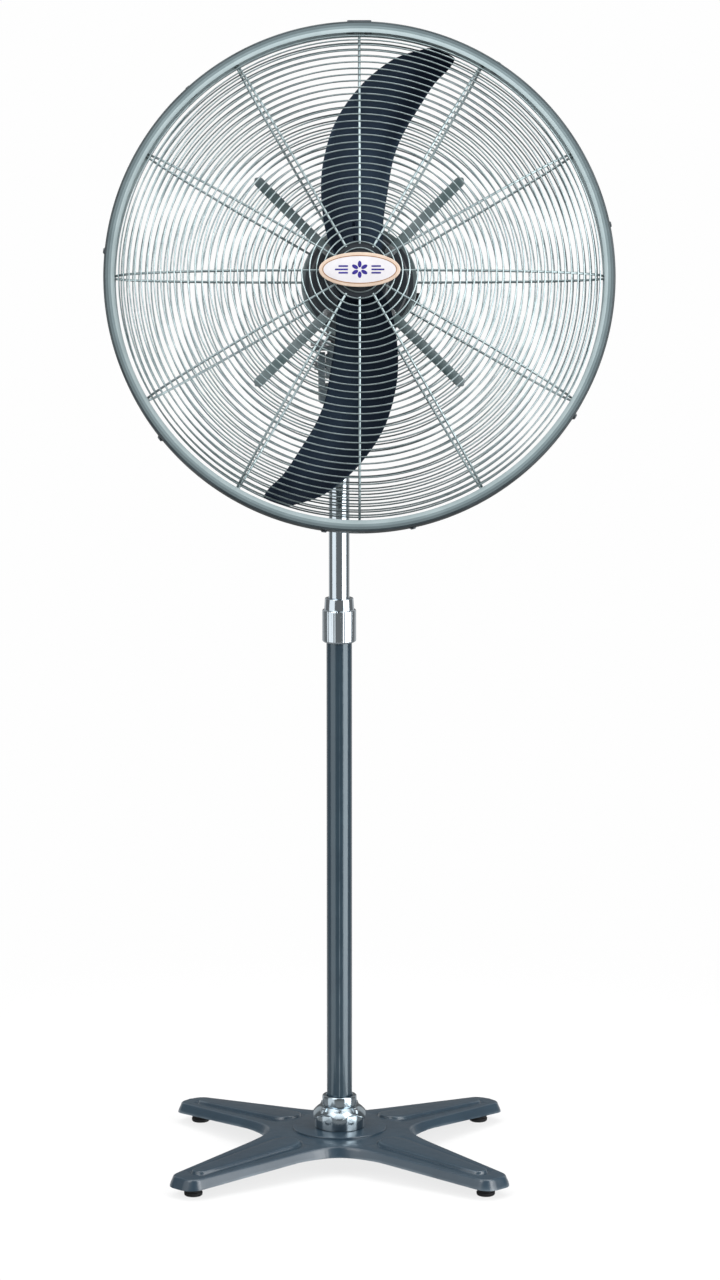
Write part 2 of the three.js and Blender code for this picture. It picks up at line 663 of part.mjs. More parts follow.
function wormWheel() {
  const teeth = new THREE.Shape();
  const count = 20;
  for (let k = 0; k < 2 * count; k += 1) {
    const angle = (k * Math.PI) / count;
    const radius = k % 2 ? 22 : 19.5;
    teeth[k === 0 ? 'moveTo' : 'lineTo'](radius * Math.cos(angle), radius * Math.sin(angle));
  }
  return prism(teeth, 116.5, 127).translate(0, CRANK_BACK, 0);
}

// The link hangs between the crank pin and the neck's link pin. Its neck end has a wide eye.
function crankLink() {
  const [low, high] = [32, 37];
  const from = new THREE.Vector2(-CRANK_ARM, CRANK_BACK);
  const to = new THREE.Vector2(-LINK_ARM, 0);
  const along = to.clone().sub(from);
  const bar = block(0, along.length(), -4.5, 4.5, low, high).rotateZ(along.angle());
  bar.translate(from.x, from.y, 0);
  const crankEye = rod(9, low, high, 16).translate(from.x, from.y, 0);
  const neckEye = rod(11.5, low, high, 16).translate(to.x, to.y, 0);
  const crankHole = rod(4.6, low - 5, high + 5, 16).translate(from.x, from.y, 0);
  const neckHole = rod(8, low - 5, high + 5, 16).translate(to.x, to.y, 0);
  return cut(join(bar, crankEye, neckEye), crankHole, neckHole);
}

function clutchKnob() {
  const top = MOTOR_HEIGHT + 46;
  const knob = revolve(
    [[0, top + 8], [9, top + 8], [10.5, top + 12], [10.5, top + 22], [8, top + 25], [0, top + 25]],
    12,
  );
  return join(rod(4, top - 18, top + 9), knob).translate(0, CRANK_BACK, 0);
}

function speedKnob() {
  return join(rod(12.5, 0, 14, 16), block(-2, 2, -12, 12, 13, 20));
}

function cordGland() {
  return revolve([[4.6, 0], [11, 0], [11, 5], [8.5, 6], [8.5, 15], [4.6, 15]], 16);
}

function addMotor(axle, head) {
  addPart(axle, 'motor_shell', motorShell(), motorPaint());
  addPart(axle, 'front_bell', frontBell(), motorPaint());
  addPart(axle, 'stator', sleeve(52, MOTOR_RADIUS - MOTOR_WALL - 1, 2, 70, FINE), copper());
  addPart(axle, 'rotor_core', sleeve(SHAFT_RADIUS + 0.4, 51, 4, 68, ROUND), steel());
  addPart(axle, 'bearing_front', bearing(MOTOR_FRONT - 17), steel());
  addPart(axle, 'bearing_rear', bearing(MOTOR_REAR + 7), steel());
  addPart(axle, 'motor_shaft', motorShaft(), steel());
  addPart(axle, 'gearbox_housing', gearboxHousing(), motorPaint());
  addPart(axle, 'switch_box', roundedBlock(46.4, 78, -34, 18, -98, -40, 5), blackPlastic());
  const knob = addPart(axle, 'speed_knob', alongX(speedKnob()), blackPlastic());
  knob.position.set(78 + GAP, -8, -69);
  const gland = addPart(axle, 'cord_gland', cordGland().rotateX(Math.PI / 2), blackPlastic());
  gland.position.set(62, -34 - GAP, -69);
  addPart(head, 'worm_wheel', wormWheel(), brass());
  addPart(head, 'crank', crank(), steel());
  addPart(head, 'crank_link', crankLink(), steel());
  addPart(head, 'clutch_knob', clutchKnob(), blackPlastic());
}

// ---------------------------------------------------------------- impeller

// Points across a blade from the trailing to the leading edge, on its front or its back skin.
function bladeSkin(station, side) {
  const trailing = new THREE.Vector2(...station.trailing);
  const leading = new THREE.Vector2(...station.leading);
  const width = trailing.distanceTo(leading);
  const rise = width * Math.tan(THREE.MathUtils.degToRad(station.pitch));
  const camber = 0.07 * width;
  return [0, 0.25, 0.5, 0.75, 1].map((t) => {
    const flat = trailing.clone().lerp(leading, t);
    const z = rise * (0.5 - t) - camber * 4 * t * (1 - t);
    return new THREE.Vector3(flat.x, flat.y, z + (side * BLADE_THICKNESS) / 2);
  });
}

function blade() {
  return loft(BLADE_STATIONS.map((station) => [
    ...bladeSkin(station, 1),
    ...bladeSkin(station, -1).reverse(),
  ]));
}

function impeller() {
  const hub = rod(HUB_RADIUS, -HUB_HALF_LENGTH, HUB_HALF_LENGTH, ROUND);
  const bore = rod(SHAFT_RADIUS + 0.4, -HUB_HALF_LENGTH - 5, HUB_HALF_LENGTH + 5, 16);
  return cut(join(hub, blade(), blade().rotateZ(Math.PI)), bore);
}

function addImpeller(axle) {
  const hub = addPart(axle, 'impeller', impeller(), bladePaint());
  hub.position.z = RIM_PLANE;
  const profile = [[0, 9], [8.5, 9], [8.5, 0], [17, 0], [17, 8], [13, 15], [6, 19], [0, 20]];
  const nut = addPart(axle, 'spinner_nut', revolve(profile, 16), blackPlastic());
  nut.position.z = RIM_PLANE + HUB_HALF_LENGTH + GAP;
}

// ---------------------------------------------------------------- guards

// A guard's distance from the rim plane at a radius: flat near the axis, steep at the rim.
function domeHeight(guard, radius) {
  const ratio = Math.min(radius / DOME_RADIUS, 1);
  return guard.edge + (guard.apex - guard.edge) * (1 - ratio ** 3) ** 0.6;
}

// A wire of square section that runs outwards along +X, from an inner radius to the edge wire.
function rib(shape, inner) {
  const start = Math.asin(inner / DOME_RADIUS);
  const steps = 7;
  const points = [];
  for (let k = 0; k <= steps; k += 1) {
    const radius = DOME_RADIUS * Math.sin(start + ((Math.PI / 2 - start) * k) / steps);
    points.push(new THREE.Vector2(radius, domeHeight(shape, radius)));
  }
  points.push(new THREE.Vector2(GUARD_RADIUS, shape.edge));
  return loft(points.map((point, k) => {
    const before = points[Math.max(k - 1, 0)];
    const after = points[Math.min(k + 1, points.length - 1)];
    const along = after.clone().sub(before).setLength(RIB_WIRE);
    return [[1, -1], [1, 1], [-1, 1], [-1, -1]].map(([up, side]) => (
      new THREE.Vector3(point.x - up * along.y, side * RIB_WIRE, point.y + up * along.x)
    ));
  }));
}

// A ring of diamond section that lies on the outside of the ribs.
function ring(shape, radius) {
  const torus = new THREE.TorusGeometry(radius, RING_WIRE, 4, 24).rotateZ(Math.PI / 24);
  const lift = Math.sign(shape.apex) * (RIB_WIRE + RING_WIRE - 1.6);
  return torus.translate(0, 0, domeHeight(shape, radius) + lift);
}

function guard(shape, ribStart) {
  const ribs = [];
  for (let k = 0; k < RIB_COUNT; k += 1) {
    ribs.push(rib(shape, ribStart).rotateZ((k * 2 * Math.PI) / RIB_COUNT));
  }
  const rings = [];
  for (let k = 0; k < RING_COUNT; k += 1) {
    rings.push(ring(shape, RING_START + k * RING_PITCH));
  }
  const edge = new THREE.TorusGeometry(GUARD_RADIUS, EDGE_WIRE, 4, 72);
  edge.translate(0, 0, shape.edge);
  return join(edge, ...ribs, ...rings);
}

function rearGuard() {
  const plateRear = MOTOR_FRONT - RIM_PLANE + GAP;
  const plate = sleeve(24, 97, plateRear, plateRear + 3, FINE);
  const holes = screwPlaces().map(([x, y]) => (
    rod(3, plateRear - 5, plateRear + 8, 8).translate(x, y, 0)
  ));
  return cut(join(guard(REAR_GUARD, 90), plate), ...holes);
}

function frontGuard() {
  const plate = sleeve(3.6, 44, FRONT_GUARD.apex - 4, FRONT_GUARD.apex - 1, ROUND);
  return join(guard(FRONT_GUARD, 36), plate);
}

// A flat bar that lies on the rear guard's inside, from the motor outwards.
function strap() {
  const lift = REAR_GUARD.apex + 1.2;
  const rise = domeHeight(REAR_GUARD, STRAP_OUTER) - REAR_GUARD.apex;
  const section = (radius, half, height) => [
    new THREE.Vector3(radius, -half, height),
    new THREE.Vector3(radius, half, height),
    new THREE.Vector3(radius, half, height + STRAP_THICKNESS),
    new THREE.Vector3(radius, -half, height + STRAP_THICKNESS),
  ];
  const half = STRAP_WIDTH / 2;
  const stations = [
    [STRAP_INNER, half * 0.5, 0],
    [STRAP_INNER + 5, half, 0],
    [110, half, 0.1],
    [175, half, 0.45],
    [STRAP_OUTER - 5, half, 0.95],
    [STRAP_OUTER, half * 0.5, 1],
  ];
  const bar = loft(stations.map(([radius, width, share]) => (
    section(radius, width, lift + rise * share)
  )));
  return cut(bar, rod(3, lift - 5, lift + 8, 8).translate(70, 0, 0));
}

// A hoop with a lip on each edge, open towards the axis, split under the joint plate and with a
// hole for every bolt.
function rimBand() {
  const inside = RIM_RADIUS - RIM_LIP;
  const wall = RIM_RADIUS - RIM_SHEET;
  const hoop = revolve(
    [
      [inside, RIM_REAR],
      [RIM_RADIUS, RIM_REAR],
      [RIM_RADIUS, RIM_FRONT],
      [inside, RIM_FRONT],
      [inside, RIM_FRONT - RIM_SHEET],
      [wall, RIM_FRONT - RIM_SHEET],
      [wall, RIM_REAR + RIM_SHEET],
      [inside, RIM_REAR + RIM_SHEET],
    ],
    72,
  );
  const at = (tool, degrees) => tool.rotateZ(THREE.MathUtils.degToRad(degrees));
  const hole = (side) => (
    alongX(rod(CLIP_HOLE_RADIUS, wall - 5, RIM_RADIUS + 5)).translate(0, side, RIM_MIDDLE)
  );
  const half = JOINT_SPLIT / 2;
  const split = block(inside - 5, RIM_RADIUS + 5, -half, half, RIM_REAR - 5, RIM_FRONT + 5);
  return cut(
    hoop,
    ...CLIP_ANGLES.map((degrees) => at(hole(0), degrees)),
    ...[-1, 1].map((side) => at(hole(side * JOINT_BOLT_SPREAD), JOINT_PLATE_ANGLE)),
    at(split, JOINT_PLATE_ANGLE),
  );
}

// A bolt through the hoop at +X, with its head outside and a clamp plate inside that holds the
// guards' edge wires.
function rimBolt(side) {
  const base = RIM_RADIUS + GAP;
  const head = alongX(rod(5.5, base, base + 3, 6));
  const shank = alongX(rod(CLIP_BOLT_RADIUS, CLAMP_INNER + 1, base + 1));
  const bolt = join(head, shank).translate(0, side, RIM_MIDDLE);
  const clamp = block(CLAMP_INNER, CLAMP_INNER + CLAMP_THICKNESS, side - CLAMP_HALF,
    side + CLAMP_HALF, CLAMP_REAR, CLAMP_FRONT);
  return join(bolt, clamp);
}

// The flat plate over the hoop's joint, with its two bolts.
function jointPlate() {
  const base = RIM_RADIUS + GAP;
  const plate = block(base, base + 3, -19, 19, RIM_MIDDLE - 15, RIM_MIDDLE + 15);
  return join(plate, ...[-1, 1].map((side) => rimBolt(side * JOINT_BOLT_SPREAD)));
}

function badgePlate() {
  const edge = 1.5;
  const [across, up] = [BADGE_WIDTH / 2 - edge, BADGE_HEIGHT / 2 - edge];
  const outline = new THREE.Shape().absellipse(0, 0, across, up, 0, 2 * Math.PI);
  const options = { depth: 2, bevelThickness: 1, bevelSize: edge, bevelSegments: 1, curveSegments: 10 };
  const plate = new THREE.ExtrudeGeometry(outline, options);
  return join(plate, rod(3, -9, 0.5)).translate(0, 0, FRONT_GUARD.apex + 5);
}

function addGuards(axle) {
  const rim = new THREE.Group();
  rim.position.z = RIM_PLANE;
  axle.add(rim);
  addPart(rim, 'rear_guard', rearGuard(), chrome());
  addPart(rim, 'front_guard', frontGuard(), chrome());
  addPart(rim, 'rim_band', rimBand(), rimPaint());
  addPart(rim, 'badge_plate', badgePlate(), badgeWhite());
  screwPlaces().forEach(([x, y], k) => {
    const bar = addPart(rim, `guard_strap_${k + 1}`, strap(), strapPaint());
    bar.rotation.z = Math.PI / 4 + (k * Math.PI) / 2;
    const screw = addPart(rim, `guard_screw_${k + 1}`, hexBolt(6, 4, 2.5, 14), steel());
    screw.position.set(x, y, REAR_GUARD.apex + 1.2 + STRAP_THICKNESS + GAP);
  });
  CLIP_ANGLES.forEach((degrees, k) => {
    const clip = addPart(rim, `rim_clip_${k + 1}`, rimBolt(0), neckPaint());
    clip.rotation.z = THREE.MathUtils.degToRad(degrees);
  });
  const plate = addPart(rim, 'rim_joint_plate', jointPlate(), neckPaint());
  plate.rotation.z = THREE.MathUtils.degToRad(JOINT_PLATE_ANGLE);
}

// ---------------------------------------------------------------- assembly

function pedestalFan() {
  const fan = new THREE.Group();
  addBase(fan);
  addPole(fan);
  const tiltAxis = addNeck(fan);

  const head = new THREE.Group();
  head.rotation.x = -REST_TILT;
  tiltAxis.add(head);
  addNeckBlock(head);

  const axle = new THREE.Group();
  axle.position.set(MOTOR_OFFSET, 0, MOTOR_HEIGHT);
  axle.rotation.x = Math.PI / 2;
  head.add(axle);
  addMotor(axle, head);
  addImpeller(axle);
  addGuards(axle);
  return fan;
}

// The fan is moved so that the middle of its bounding box stands over the origin.
function centred(model) {
  model.updateMatrixWorld(true);
  const box = new THREE.Box3().setFromObject(model, true);
  const middle = box.getCenter(new THREE.Vector3());
  model.position.set(-middle.x, -middle.y, -box.min.z);
  return model;
}

const group = new THREE.Group();
group.add(centred(pedestalFan()));
export default group;
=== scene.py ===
import json
import math

import bmesh
import bpy
from mathutils import Matrix, Vector


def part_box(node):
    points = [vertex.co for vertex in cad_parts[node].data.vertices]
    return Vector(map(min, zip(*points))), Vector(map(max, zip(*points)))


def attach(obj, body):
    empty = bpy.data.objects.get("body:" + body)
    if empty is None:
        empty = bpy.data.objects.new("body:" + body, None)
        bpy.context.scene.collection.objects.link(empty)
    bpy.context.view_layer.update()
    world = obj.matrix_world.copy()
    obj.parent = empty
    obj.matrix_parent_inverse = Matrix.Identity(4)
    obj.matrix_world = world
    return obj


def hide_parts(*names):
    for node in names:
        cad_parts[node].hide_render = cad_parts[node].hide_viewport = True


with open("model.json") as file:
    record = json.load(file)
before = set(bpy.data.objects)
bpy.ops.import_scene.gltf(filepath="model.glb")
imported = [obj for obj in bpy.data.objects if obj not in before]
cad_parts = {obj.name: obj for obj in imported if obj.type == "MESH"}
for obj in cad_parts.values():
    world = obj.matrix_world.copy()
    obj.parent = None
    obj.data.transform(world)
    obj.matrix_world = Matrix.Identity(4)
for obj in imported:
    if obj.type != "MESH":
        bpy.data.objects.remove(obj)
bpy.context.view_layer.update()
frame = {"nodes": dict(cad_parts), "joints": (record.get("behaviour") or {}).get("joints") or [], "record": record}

# A pedestal fan. The frame is in metres. Each piece is drawn in millimetres in the local frame of
# what it belongs to, and one of the six matrices below takes it to its place.

TAU = 2 * math.pi
MM = 0.001
joints = {joint["name"]: joint for joint in frame["joints"]}
bodies = frame["record"]["behaviour"]["bodies"]
body_of = {node: body for body, nodes in bodies.items() for node in nodes}


def place(origin, right, up, towards):
    """The matrix of a frame in millimetres whose axes are X right, Y up and Z towards."""
    axes = Matrix((right, up, towards)).transposed()
    return Matrix.Translation(origin) @ (axes * MM).to_4x4()


TILT_POINT = Vector(joints["tilt"]["pos_m"])
RIM_POINT = Vector(joints["impeller_spin"]["pos_m"])
FORWARD = Vector(joints["impeller_spin"]["axis"]).normalized()
HEAD_UP = Vector(joints["oscillation"]["axis"]).normalized()
RIGHT = Vector((1, 0, 0))
BACK = Vector((0, 1, 0))
UP = Vector((0, 0, 1))
POLE_FOOT = Vector((TILT_POINT.x, TILT_POINT.y, 0))
RIM_PLANE = 184  # the rim plane's distance from the swing pivot, along the motor axis

POLE = place(POLE_FOOT, RIGHT, BACK, UP)
YOKE = place(TILT_POINT, RIGHT, BACK, UP)
HEAD = place(TILT_POINT, RIGHT, -FORWARD, HEAD_UP)
RIM = place(RIM_POINT, RIGHT, HEAD_UP, FORWARD)
AXLE = place(RIM_POINT - FORWARD * RIM_PLANE * MM, RIGHT, HEAD_UP, FORWARD)
TURNED = POLE @ Matrix.Rotation(math.pi / 4, 4, "Z")  # the base's legs lie along its X and Y

# ---- camera
CAMERA_LENS = 152.35  # in mm
CAMERA_DISTANCE = 8.6  # in metres, in front of the pole
CAMERA_HEIGHT = 2.31
CAMERA_PITCH = 9.583  # in degrees, downwards
CAMERA_YAW = -0.223


def add_camera():
    """A long lens in front of the fan and above it, which looks down at it a little."""
    data = bpy.data.cameras.new("Camera")
    data.lens = CAMERA_LENS
    data.clip_start = 0.1
    data.clip_end = 400
    camera = bpy.data.objects.new("Camera", data)
    camera.location = POLE_FOOT + Vector((0, -CAMERA_DISTANCE, CAMERA_HEIGHT))
    camera.rotation_euler = (math.radians(90 - CAMERA_PITCH), 0, math.radians(CAMERA_YAW))
    bpy.context.scene.collection.objects.link(camera)
    bpy.context.scene.camera = camera


add_camera()

# ---- materials


def linear(red, green, blue):
    """A screen colour from 0 to 255 as a linear colour."""
    def channel(value):
        share = value / 255
        return share / 12.92 if share <= 0.04045 else ((share + 0.055) / 1.055) ** 2.4
    return (channel(red), channel(green), channel(blue), 1.0)


class Nodes:
    """Adds nodes to one material or world and links them."""

    def __init__(self, tree):
        self.tree = tree

    def add(self, kind, settings=(), **inputs):
        node = self.tree.nodes.new(kind)
        for key, value in dict(settings).items():
            setattr(node, key, value)
        for key, value in inputs.items():
            self.feed(node.inputs[key.replace("_", " ")], value)
        return node

    def feed(self, socket, value):
        if isinstance(value, bpy.types.NodeSocket):
            self.tree.links.new(value, socket)
        else:
            socket.default_value = value

    def spread(self, value, low, high, to_low=0.0, to_high=1.0, smooth=False):
        """value from low..high to to_low..to_high, clamped."""
        node = self.add("ShaderNodeMapRange", {"clamp": True})
        if smooth:
            node.interpolation_type = "SMOOTHSTEP"
        limits = {"From Min": low, "From Max": high, "To Min": to_low, "To Max": to_high}
        for key, number in limits.items():
            node.inputs[key].default_value = number
        self.feed(node.inputs["Value"], value)
        return node.outputs["Result"]

    def math(self, operation, first, second=0.0):
        node = self.add("ShaderNodeMath", {"operation": operation})
        self.feed(node.inputs[0], first)
        self.feed(node.inputs[1], second)
        return node.outputs[0]

    def blend(self, share, first, second):
        node = self.add("ShaderNodeMix", {"data_type": "RGBA"})
        self.feed(node.inputs["Factor"], share)
        self.feed(node.inputs[6], first)
        self.feed(node.inputs[7], second)
        return node.outputs[2]

    def noise(self, vector, scale, detail=4.0):
        node = self.add("ShaderNodeTexNoise", Vector=vector, Scale=scale, Detail=detail, Roughness=0.55)
        return node.outputs["Fac"]


LOOKS = {}  # each surface by its name


def surface(name, dark, light, rough, patch=14.0, grain=900.0, bump=0.05, wear=None,
            stretch=(1.0, 1.0, 1.0), **fixed):
    """A Principled material whose colour drifts between two screen colours, whose roughness and
    fine bump come from noise, and whose convex edges may be worn to another colour."""
    material = bpy.data.materials.new(name)
    material.use_nodes = True
    nodes = Nodes(material.node_tree)
    shader = material.node_tree.nodes["Principled BSDF"]
    for key, value in fixed.items():
        shader.inputs[key.replace("_", " ")].default_value = value
    where = nodes.add("ShaderNodeTexCoord").outputs["Object"]
    scaled = nodes.add("ShaderNodeMapping", Vector=where, Scale=stretch).outputs["Vector"]
    drift = nodes.noise(scaled, patch)
    colour = nodes.blend(nodes.spread(drift, 0.32, 0.68), linear(*dark), linear(*light))
    if wear is not None:
        edge = nodes.add("ShaderNodeNewGeometry").outputs["Pointiness"]
        chips = nodes.math("MULTIPLY", nodes.spread(edge, 0.53, 0.6), nodes.spread(drift, 0.35, 0.6))
        colour = nodes.blend(chips, colour, linear(*wear))
    nodes.feed(shader.inputs["Base Color"], colour)
    fine = nodes.noise(scaled, grain, detail=3.0)
    smear = nodes.noise(scaled, patch * 4.3)
    mixed = nodes.math("ADD", nodes.math("MULTIPLY", fine, 0.4), nodes.math("MULTIPLY", smear, 0.6))
    nodes.feed(shader.inputs["Roughness"], nodes.spread(mixed, 0.3, 0.7, rough[0], rough[1]))
    relief = nodes.add("ShaderNodeBump", Strength=bump, Distance=0.001, Height=fine)
    nodes.feed(shader.inputs["Normal"], relief.outputs["Normal"])
    LOOKS[name] = material
    return material


surface("base_paint", (38, 57, 71), (46, 66, 80), (0.28, 0.42), grain=420, bump=0.12,
        wear=(104, 118, 128), Coat_Weight=0.35, Coat_Roughness=0.12)
surface("neck_paint", (84, 98, 106), (94, 108, 116), (0.36, 0.5), grain=700, bump=0.14,
        wear=(132, 142, 148), Coat_Weight=0.15)
surface("motor_paint", (30, 37, 44), (38, 46, 53), (0.34, 0.5), grain=800, bump=0.16,
        wear=(82, 90, 96), Coat_Weight=0.15)
surface("rim_paint", (46, 56, 60), (56, 66, 70), (0.36, 0.5), grain=500, bump=0.08,
        wear=(128, 140, 144), Specular_IOR_Level=0.3)
surface("strap_paint", (80, 100, 102), (92, 112, 114), (0.4, 0.55), grain=700, bump=0.12,
        wear=(150, 158, 162))
surface("blade_gloss", (8, 11, 20), (11, 15, 26), (0.24, 0.36), patch=9.0, grain=300, bump=0.04,
        Specular_IOR_Level=0.16, Specular_Tint=(0.42, 0.68, 1.0, 1.0))
surface("guard_wire", (124, 138, 141), (152, 165, 167), (0.3, 0.45), patch=60.0, grain=1500,
        bump=0.06, Metallic=0.9)
surface("chrome", (188, 200, 208), (204, 214, 221), (0.07, 0.14), patch=20.0, grain=1600,
        bump=0.02, Metallic=1.0, stretch=(1.0, 1.0, 0.2))
surface("steel", (150, 153, 156), (176, 178, 181), (0.24, 0.42), patch=60.0, grain=1400,
        bump=0.1, wear=(205, 206, 208), Metallic=1.0)
surface("laminations", (90, 60, 40), (120, 82, 52), (0.35, 0.6), patch=40.0, grain=1200,
        bump=0.3, stretch=(1.0, 6.0, 1.0), Metallic=0.6)
surface("brass", (170, 132, 66), (196, 156, 86), (0.22, 0.4), patch=50.0, grain=1200, bump=0.12,
        Metallic=1.0)
surface("rubber", (20, 21, 24), (30, 31, 34), (0.72, 0.9), patch=50.0, grain=1400, bump=0.35,
        wear=(52, 53, 56))
surface("black_plastic", (22, 23, 26), (29, 30, 33), (0.38, 0.55), patch=40.0, grain=1800,
        bump=0.3, wear=(60, 62, 66))
surface("nylon", (212, 210, 200), (226, 224, 216), (0.45, 0.6), patch=30.0, bump=0.1,
        Subsurface_Weight=0.1, Subsurface_Radius=(0.004, 0.003, 0.002))
surface("badge_enamel", (214, 190, 170), (224, 204, 186), (0.2, 0.3), patch=60.0, bump=0.03,
        Coat_Weight=0.6)
surface("tube_paint", (40, 57, 69), (46, 65, 77), (0.14, 0.22), grain=420, bump=0.08,
        wear=(104, 118, 128), Specular_IOR_Level=1.0, Specular_Tint=(0.8, 0.93, 1.0, 1.0))
# Three tones of the rim lip's one paint, in painted shade and light: darkest at the outer edge and lighter
# inwards, as light and reflection fall across the rolled lip.
for name, dark, light, gloss in (
    ("lip_outer", (98, 112, 116), (108, 122, 126), 0.3),
    ("lip_middle", (126, 142, 146), (138, 154, 158), 0.3),
    ("lip_inner", (170, 187, 190), (184, 200, 203), 0.4),
):
    surface(name, dark, light, (0.34, 0.48), patch=20.0, grain=600, bump=0.08,
            Specular_IOR_Level=gloss)
# A darker copy of the chrome: painted shade on the flange's reflections.
surface("flange_chrome_painted_shade", (150, 164, 172), (168, 180, 188), (0.08, 0.16), patch=20.0, grain=1600,
        bump=0.02, Metallic=1.0)
surface("clip_paint", (44, 52, 58), (54, 62, 68), (0.36, 0.5), patch=40.0, bump=0.12,
        wear=(112, 120, 126))
for name, dark, light, rough in (
    ("badge_white", (222, 220, 224), (230, 228, 232), (0.2, 0.3)),
    ("badge_line", (150, 112, 82), (168, 128, 96), (0.2, 0.3)),
    ("badge_mark", (52, 44, 128), (64, 54, 146), (0.18, 0.28)),
):
    surface(name, dark, light, rough, patch=60.0, bump=0.02, Coat_Weight=0.6)

# ---- shapes
# A shape is (points, faces), in millimetres.


def merge(*shapes):
    points, faces = [], []
    for new_points, new_faces in shapes:
        start = len(points)
        points += new_points
        faces += [[index + start for index in face] for face in new_faces]
    return points, faces


def moved(shape, matrix):
    return [matrix @ Vector(point) for point in shape[0]], shape[1]


def shifted(shape, x=0.0, y=0.0, z=0.0):
    return moved(shape, Matrix.Translation((x, y, z)))


def turned(shape, degrees, axis="Z"):
    return moved(shape, Matrix.Rotation(math.radians(degrees), 4, axis))


def along_x(shape):
    """Stands a shape's Z axis along X."""
    return turned(shape, 90, "Y")


def around(shape, count, first=0.0):
    return merge(*(turned(shape, first + 360 * k / count) for k in range(count)))


def skin(rings, closed_along=False, caps=True):
    """A skin over rings of points. A ring of one point is a tip."""
    points, starts = [], []
    for ring in rings:
        starts.append(len(points))
        points += [Vector(point) for point in ring]
    faces = []
    count = max(len(ring) for ring in rings)
    steps = len(rings) if closed_along else len(rings) - 1
    for k in range(steps):
        here, there = k, (k + 1) % len(rings)
        for side in range(count):
            corners = []
            for ring, step in ((here, side), (here, side + 1), (there, side + 1), (there, side)):
                index = starts[ring] + step % len(rings[ring])
                if index not in corners:
                    corners.append(index)
            if len(corners) > 2:
                faces.append(corners)
    if caps and not closed_along:
        for ring, flip in ((0, -1), (len(rings) - 1, 1)):
            if len(rings[ring]) > 2:
                faces.append(list(range(starts[ring], starts[ring] + len(rings[ring])))[::flip])
    return points, faces


def softened(points, radius, steps=3, closed=True):
    """A line of 2-D points with its corners rounded."""
    result = []
    for k, point in enumerate(points):
        corner = Vector(point)
        if not closed and k in (0, len(points) - 1):
            result.append(corner)
            continue
        before = Vector(points[k - 1]) - corner
        after = Vector(points[(k + 1) % len(points)]) - corner
        reach = min(radius, 0.48 * before.length, 0.48 * after.length)
        start = corner + before.normalized() * reach
        end = corner + after.normalized() * reach
        for step in range(steps + 1):
            share = step / steps
            result.append(start.lerp(corner, share).lerp(corner.lerp(end, share), share))
    return result


def polar(reach, angle):
    return (reach * math.cos(angle), reach * math.sin(angle))


def ellipse(across, up, count):
    return [(across * math.cos(k * TAU / count), up * math.sin(k * TAU / count)) for k in range(count)]


def circle(radius, count):
    return ellipse(radius, radius, count)


def lathe(profile, edge=1.0, facets=96):
    """Turned about Z from [radius, height] points, with its corners rounded by edge. A profile
    that starts away from the axis closes on itself."""
    closed = profile[0][0] > 0
    line = softened(profile, edge, closed=closed) if edge else [Vector(point) for point in profile]
    rings = []
    for distance, height in line:
        if distance < 1e-6:
            rings.append([(0, 0, height)])
        else:
            rings.append([(*point, height) for point in circle(distance, facets)])
    return skin(rings, closed_along=closed, caps=False)


def tube(inner, outer, low, high, edge, facets=96):
    return lathe([(inner, low), (outer, low), (outer, high), (inner, high)], edge, facets)


def rod(radius, low, high, edge=0.8, facets=48):
    return tube(0, radius, low, high, edge, facets)


def inset(outline, distance):
    """An anticlockwise outline moved inwards."""
    result = []
    for k, point in enumerate(outline):
        corner = Vector(point)
        back = (corner - Vector(outline[k - 1])).normalized()
        ahead = (Vector(outline[(k + 1) % len(outline)]) - corner).normalized()
        inwards = Vector((-back.y - ahead.y, back.x + ahead.x))
        reach = max(1 + back.dot(ahead), 0.5)
        result.append(corner + inwards * (distance / reach))
    return result


def prism(outline, low, high, edge=0.8):
    """An outline drawn along Z, with its two ends rounded off."""
    steps = [(0.0, 1.0), (0.12, 0.5), (0.5, 0.12), (1.0, 0.0)]
    levels = [(low + edge * up, edge * inwards) for up, inwards in steps]
    levels += [(high - edge * up, edge * inwards) for up, inwards in reversed(steps)]
    return skin([[(*point, height) for point in inset(outline, back)] for height, back in levels])


def rectangle(x0, x1, y0, y1, radius):
    return softened([(x0, y0), (x1, y0), (x1, y1), (x0, y1)], radius, 5)


WIRE_SIDES = 8


def wire(points, radius):
    """A round wire along points."""
    line = [Vector(point) for point in points]
    tangents = []
    for k in range(len(line)):
        tangents.append((line[min(k + 1, len(line) - 1)] - line[max(k - 1, 0)]).normalized())
    side = tangents[0].orthogonal().normalized()
    rings = []
    for point, tangent in zip(line, tangents):
        side = (side - tangent * side.dot(tangent)).normalized()
        other = tangent.cross(side)
        rings.append([point + (side * x + other * y) * radius for x, y in circle(1.0, WIRE_SIDES)])
    return skin(rings)


def hoop(distance, height, thickness):
    """A ring of round wire about Z."""
    return lathe([(distance + x, height + y) for x, y in circle(thickness, WIRE_SIDES)], 0, 144)


def mesh_object(name, points, faces, weld, shortest=0.0):
    """An object with its points welded, its edges below the shortest length dissolved and its
    faces turned outwards."""
    mesh = bpy.data.meshes.new(name)
    mesh.from_pydata(points, [], faces)
    work = bmesh.new()
    work.from_mesh(mesh)
    bmesh.ops.remove_doubles(work, verts=work.verts, dist=weld)
    if shortest:
        bmesh.ops.dissolve_degenerate(work, dist=shortest, edges=work.edges)
    bmesh.ops.recalc_face_normals(work, faces=work.faces)
    work.to_mesh(mesh)
    work.free()
    item = bpy.data.objects.new(name, mesh)
    bpy.context.scene.collection.objects.link(item)
    return item


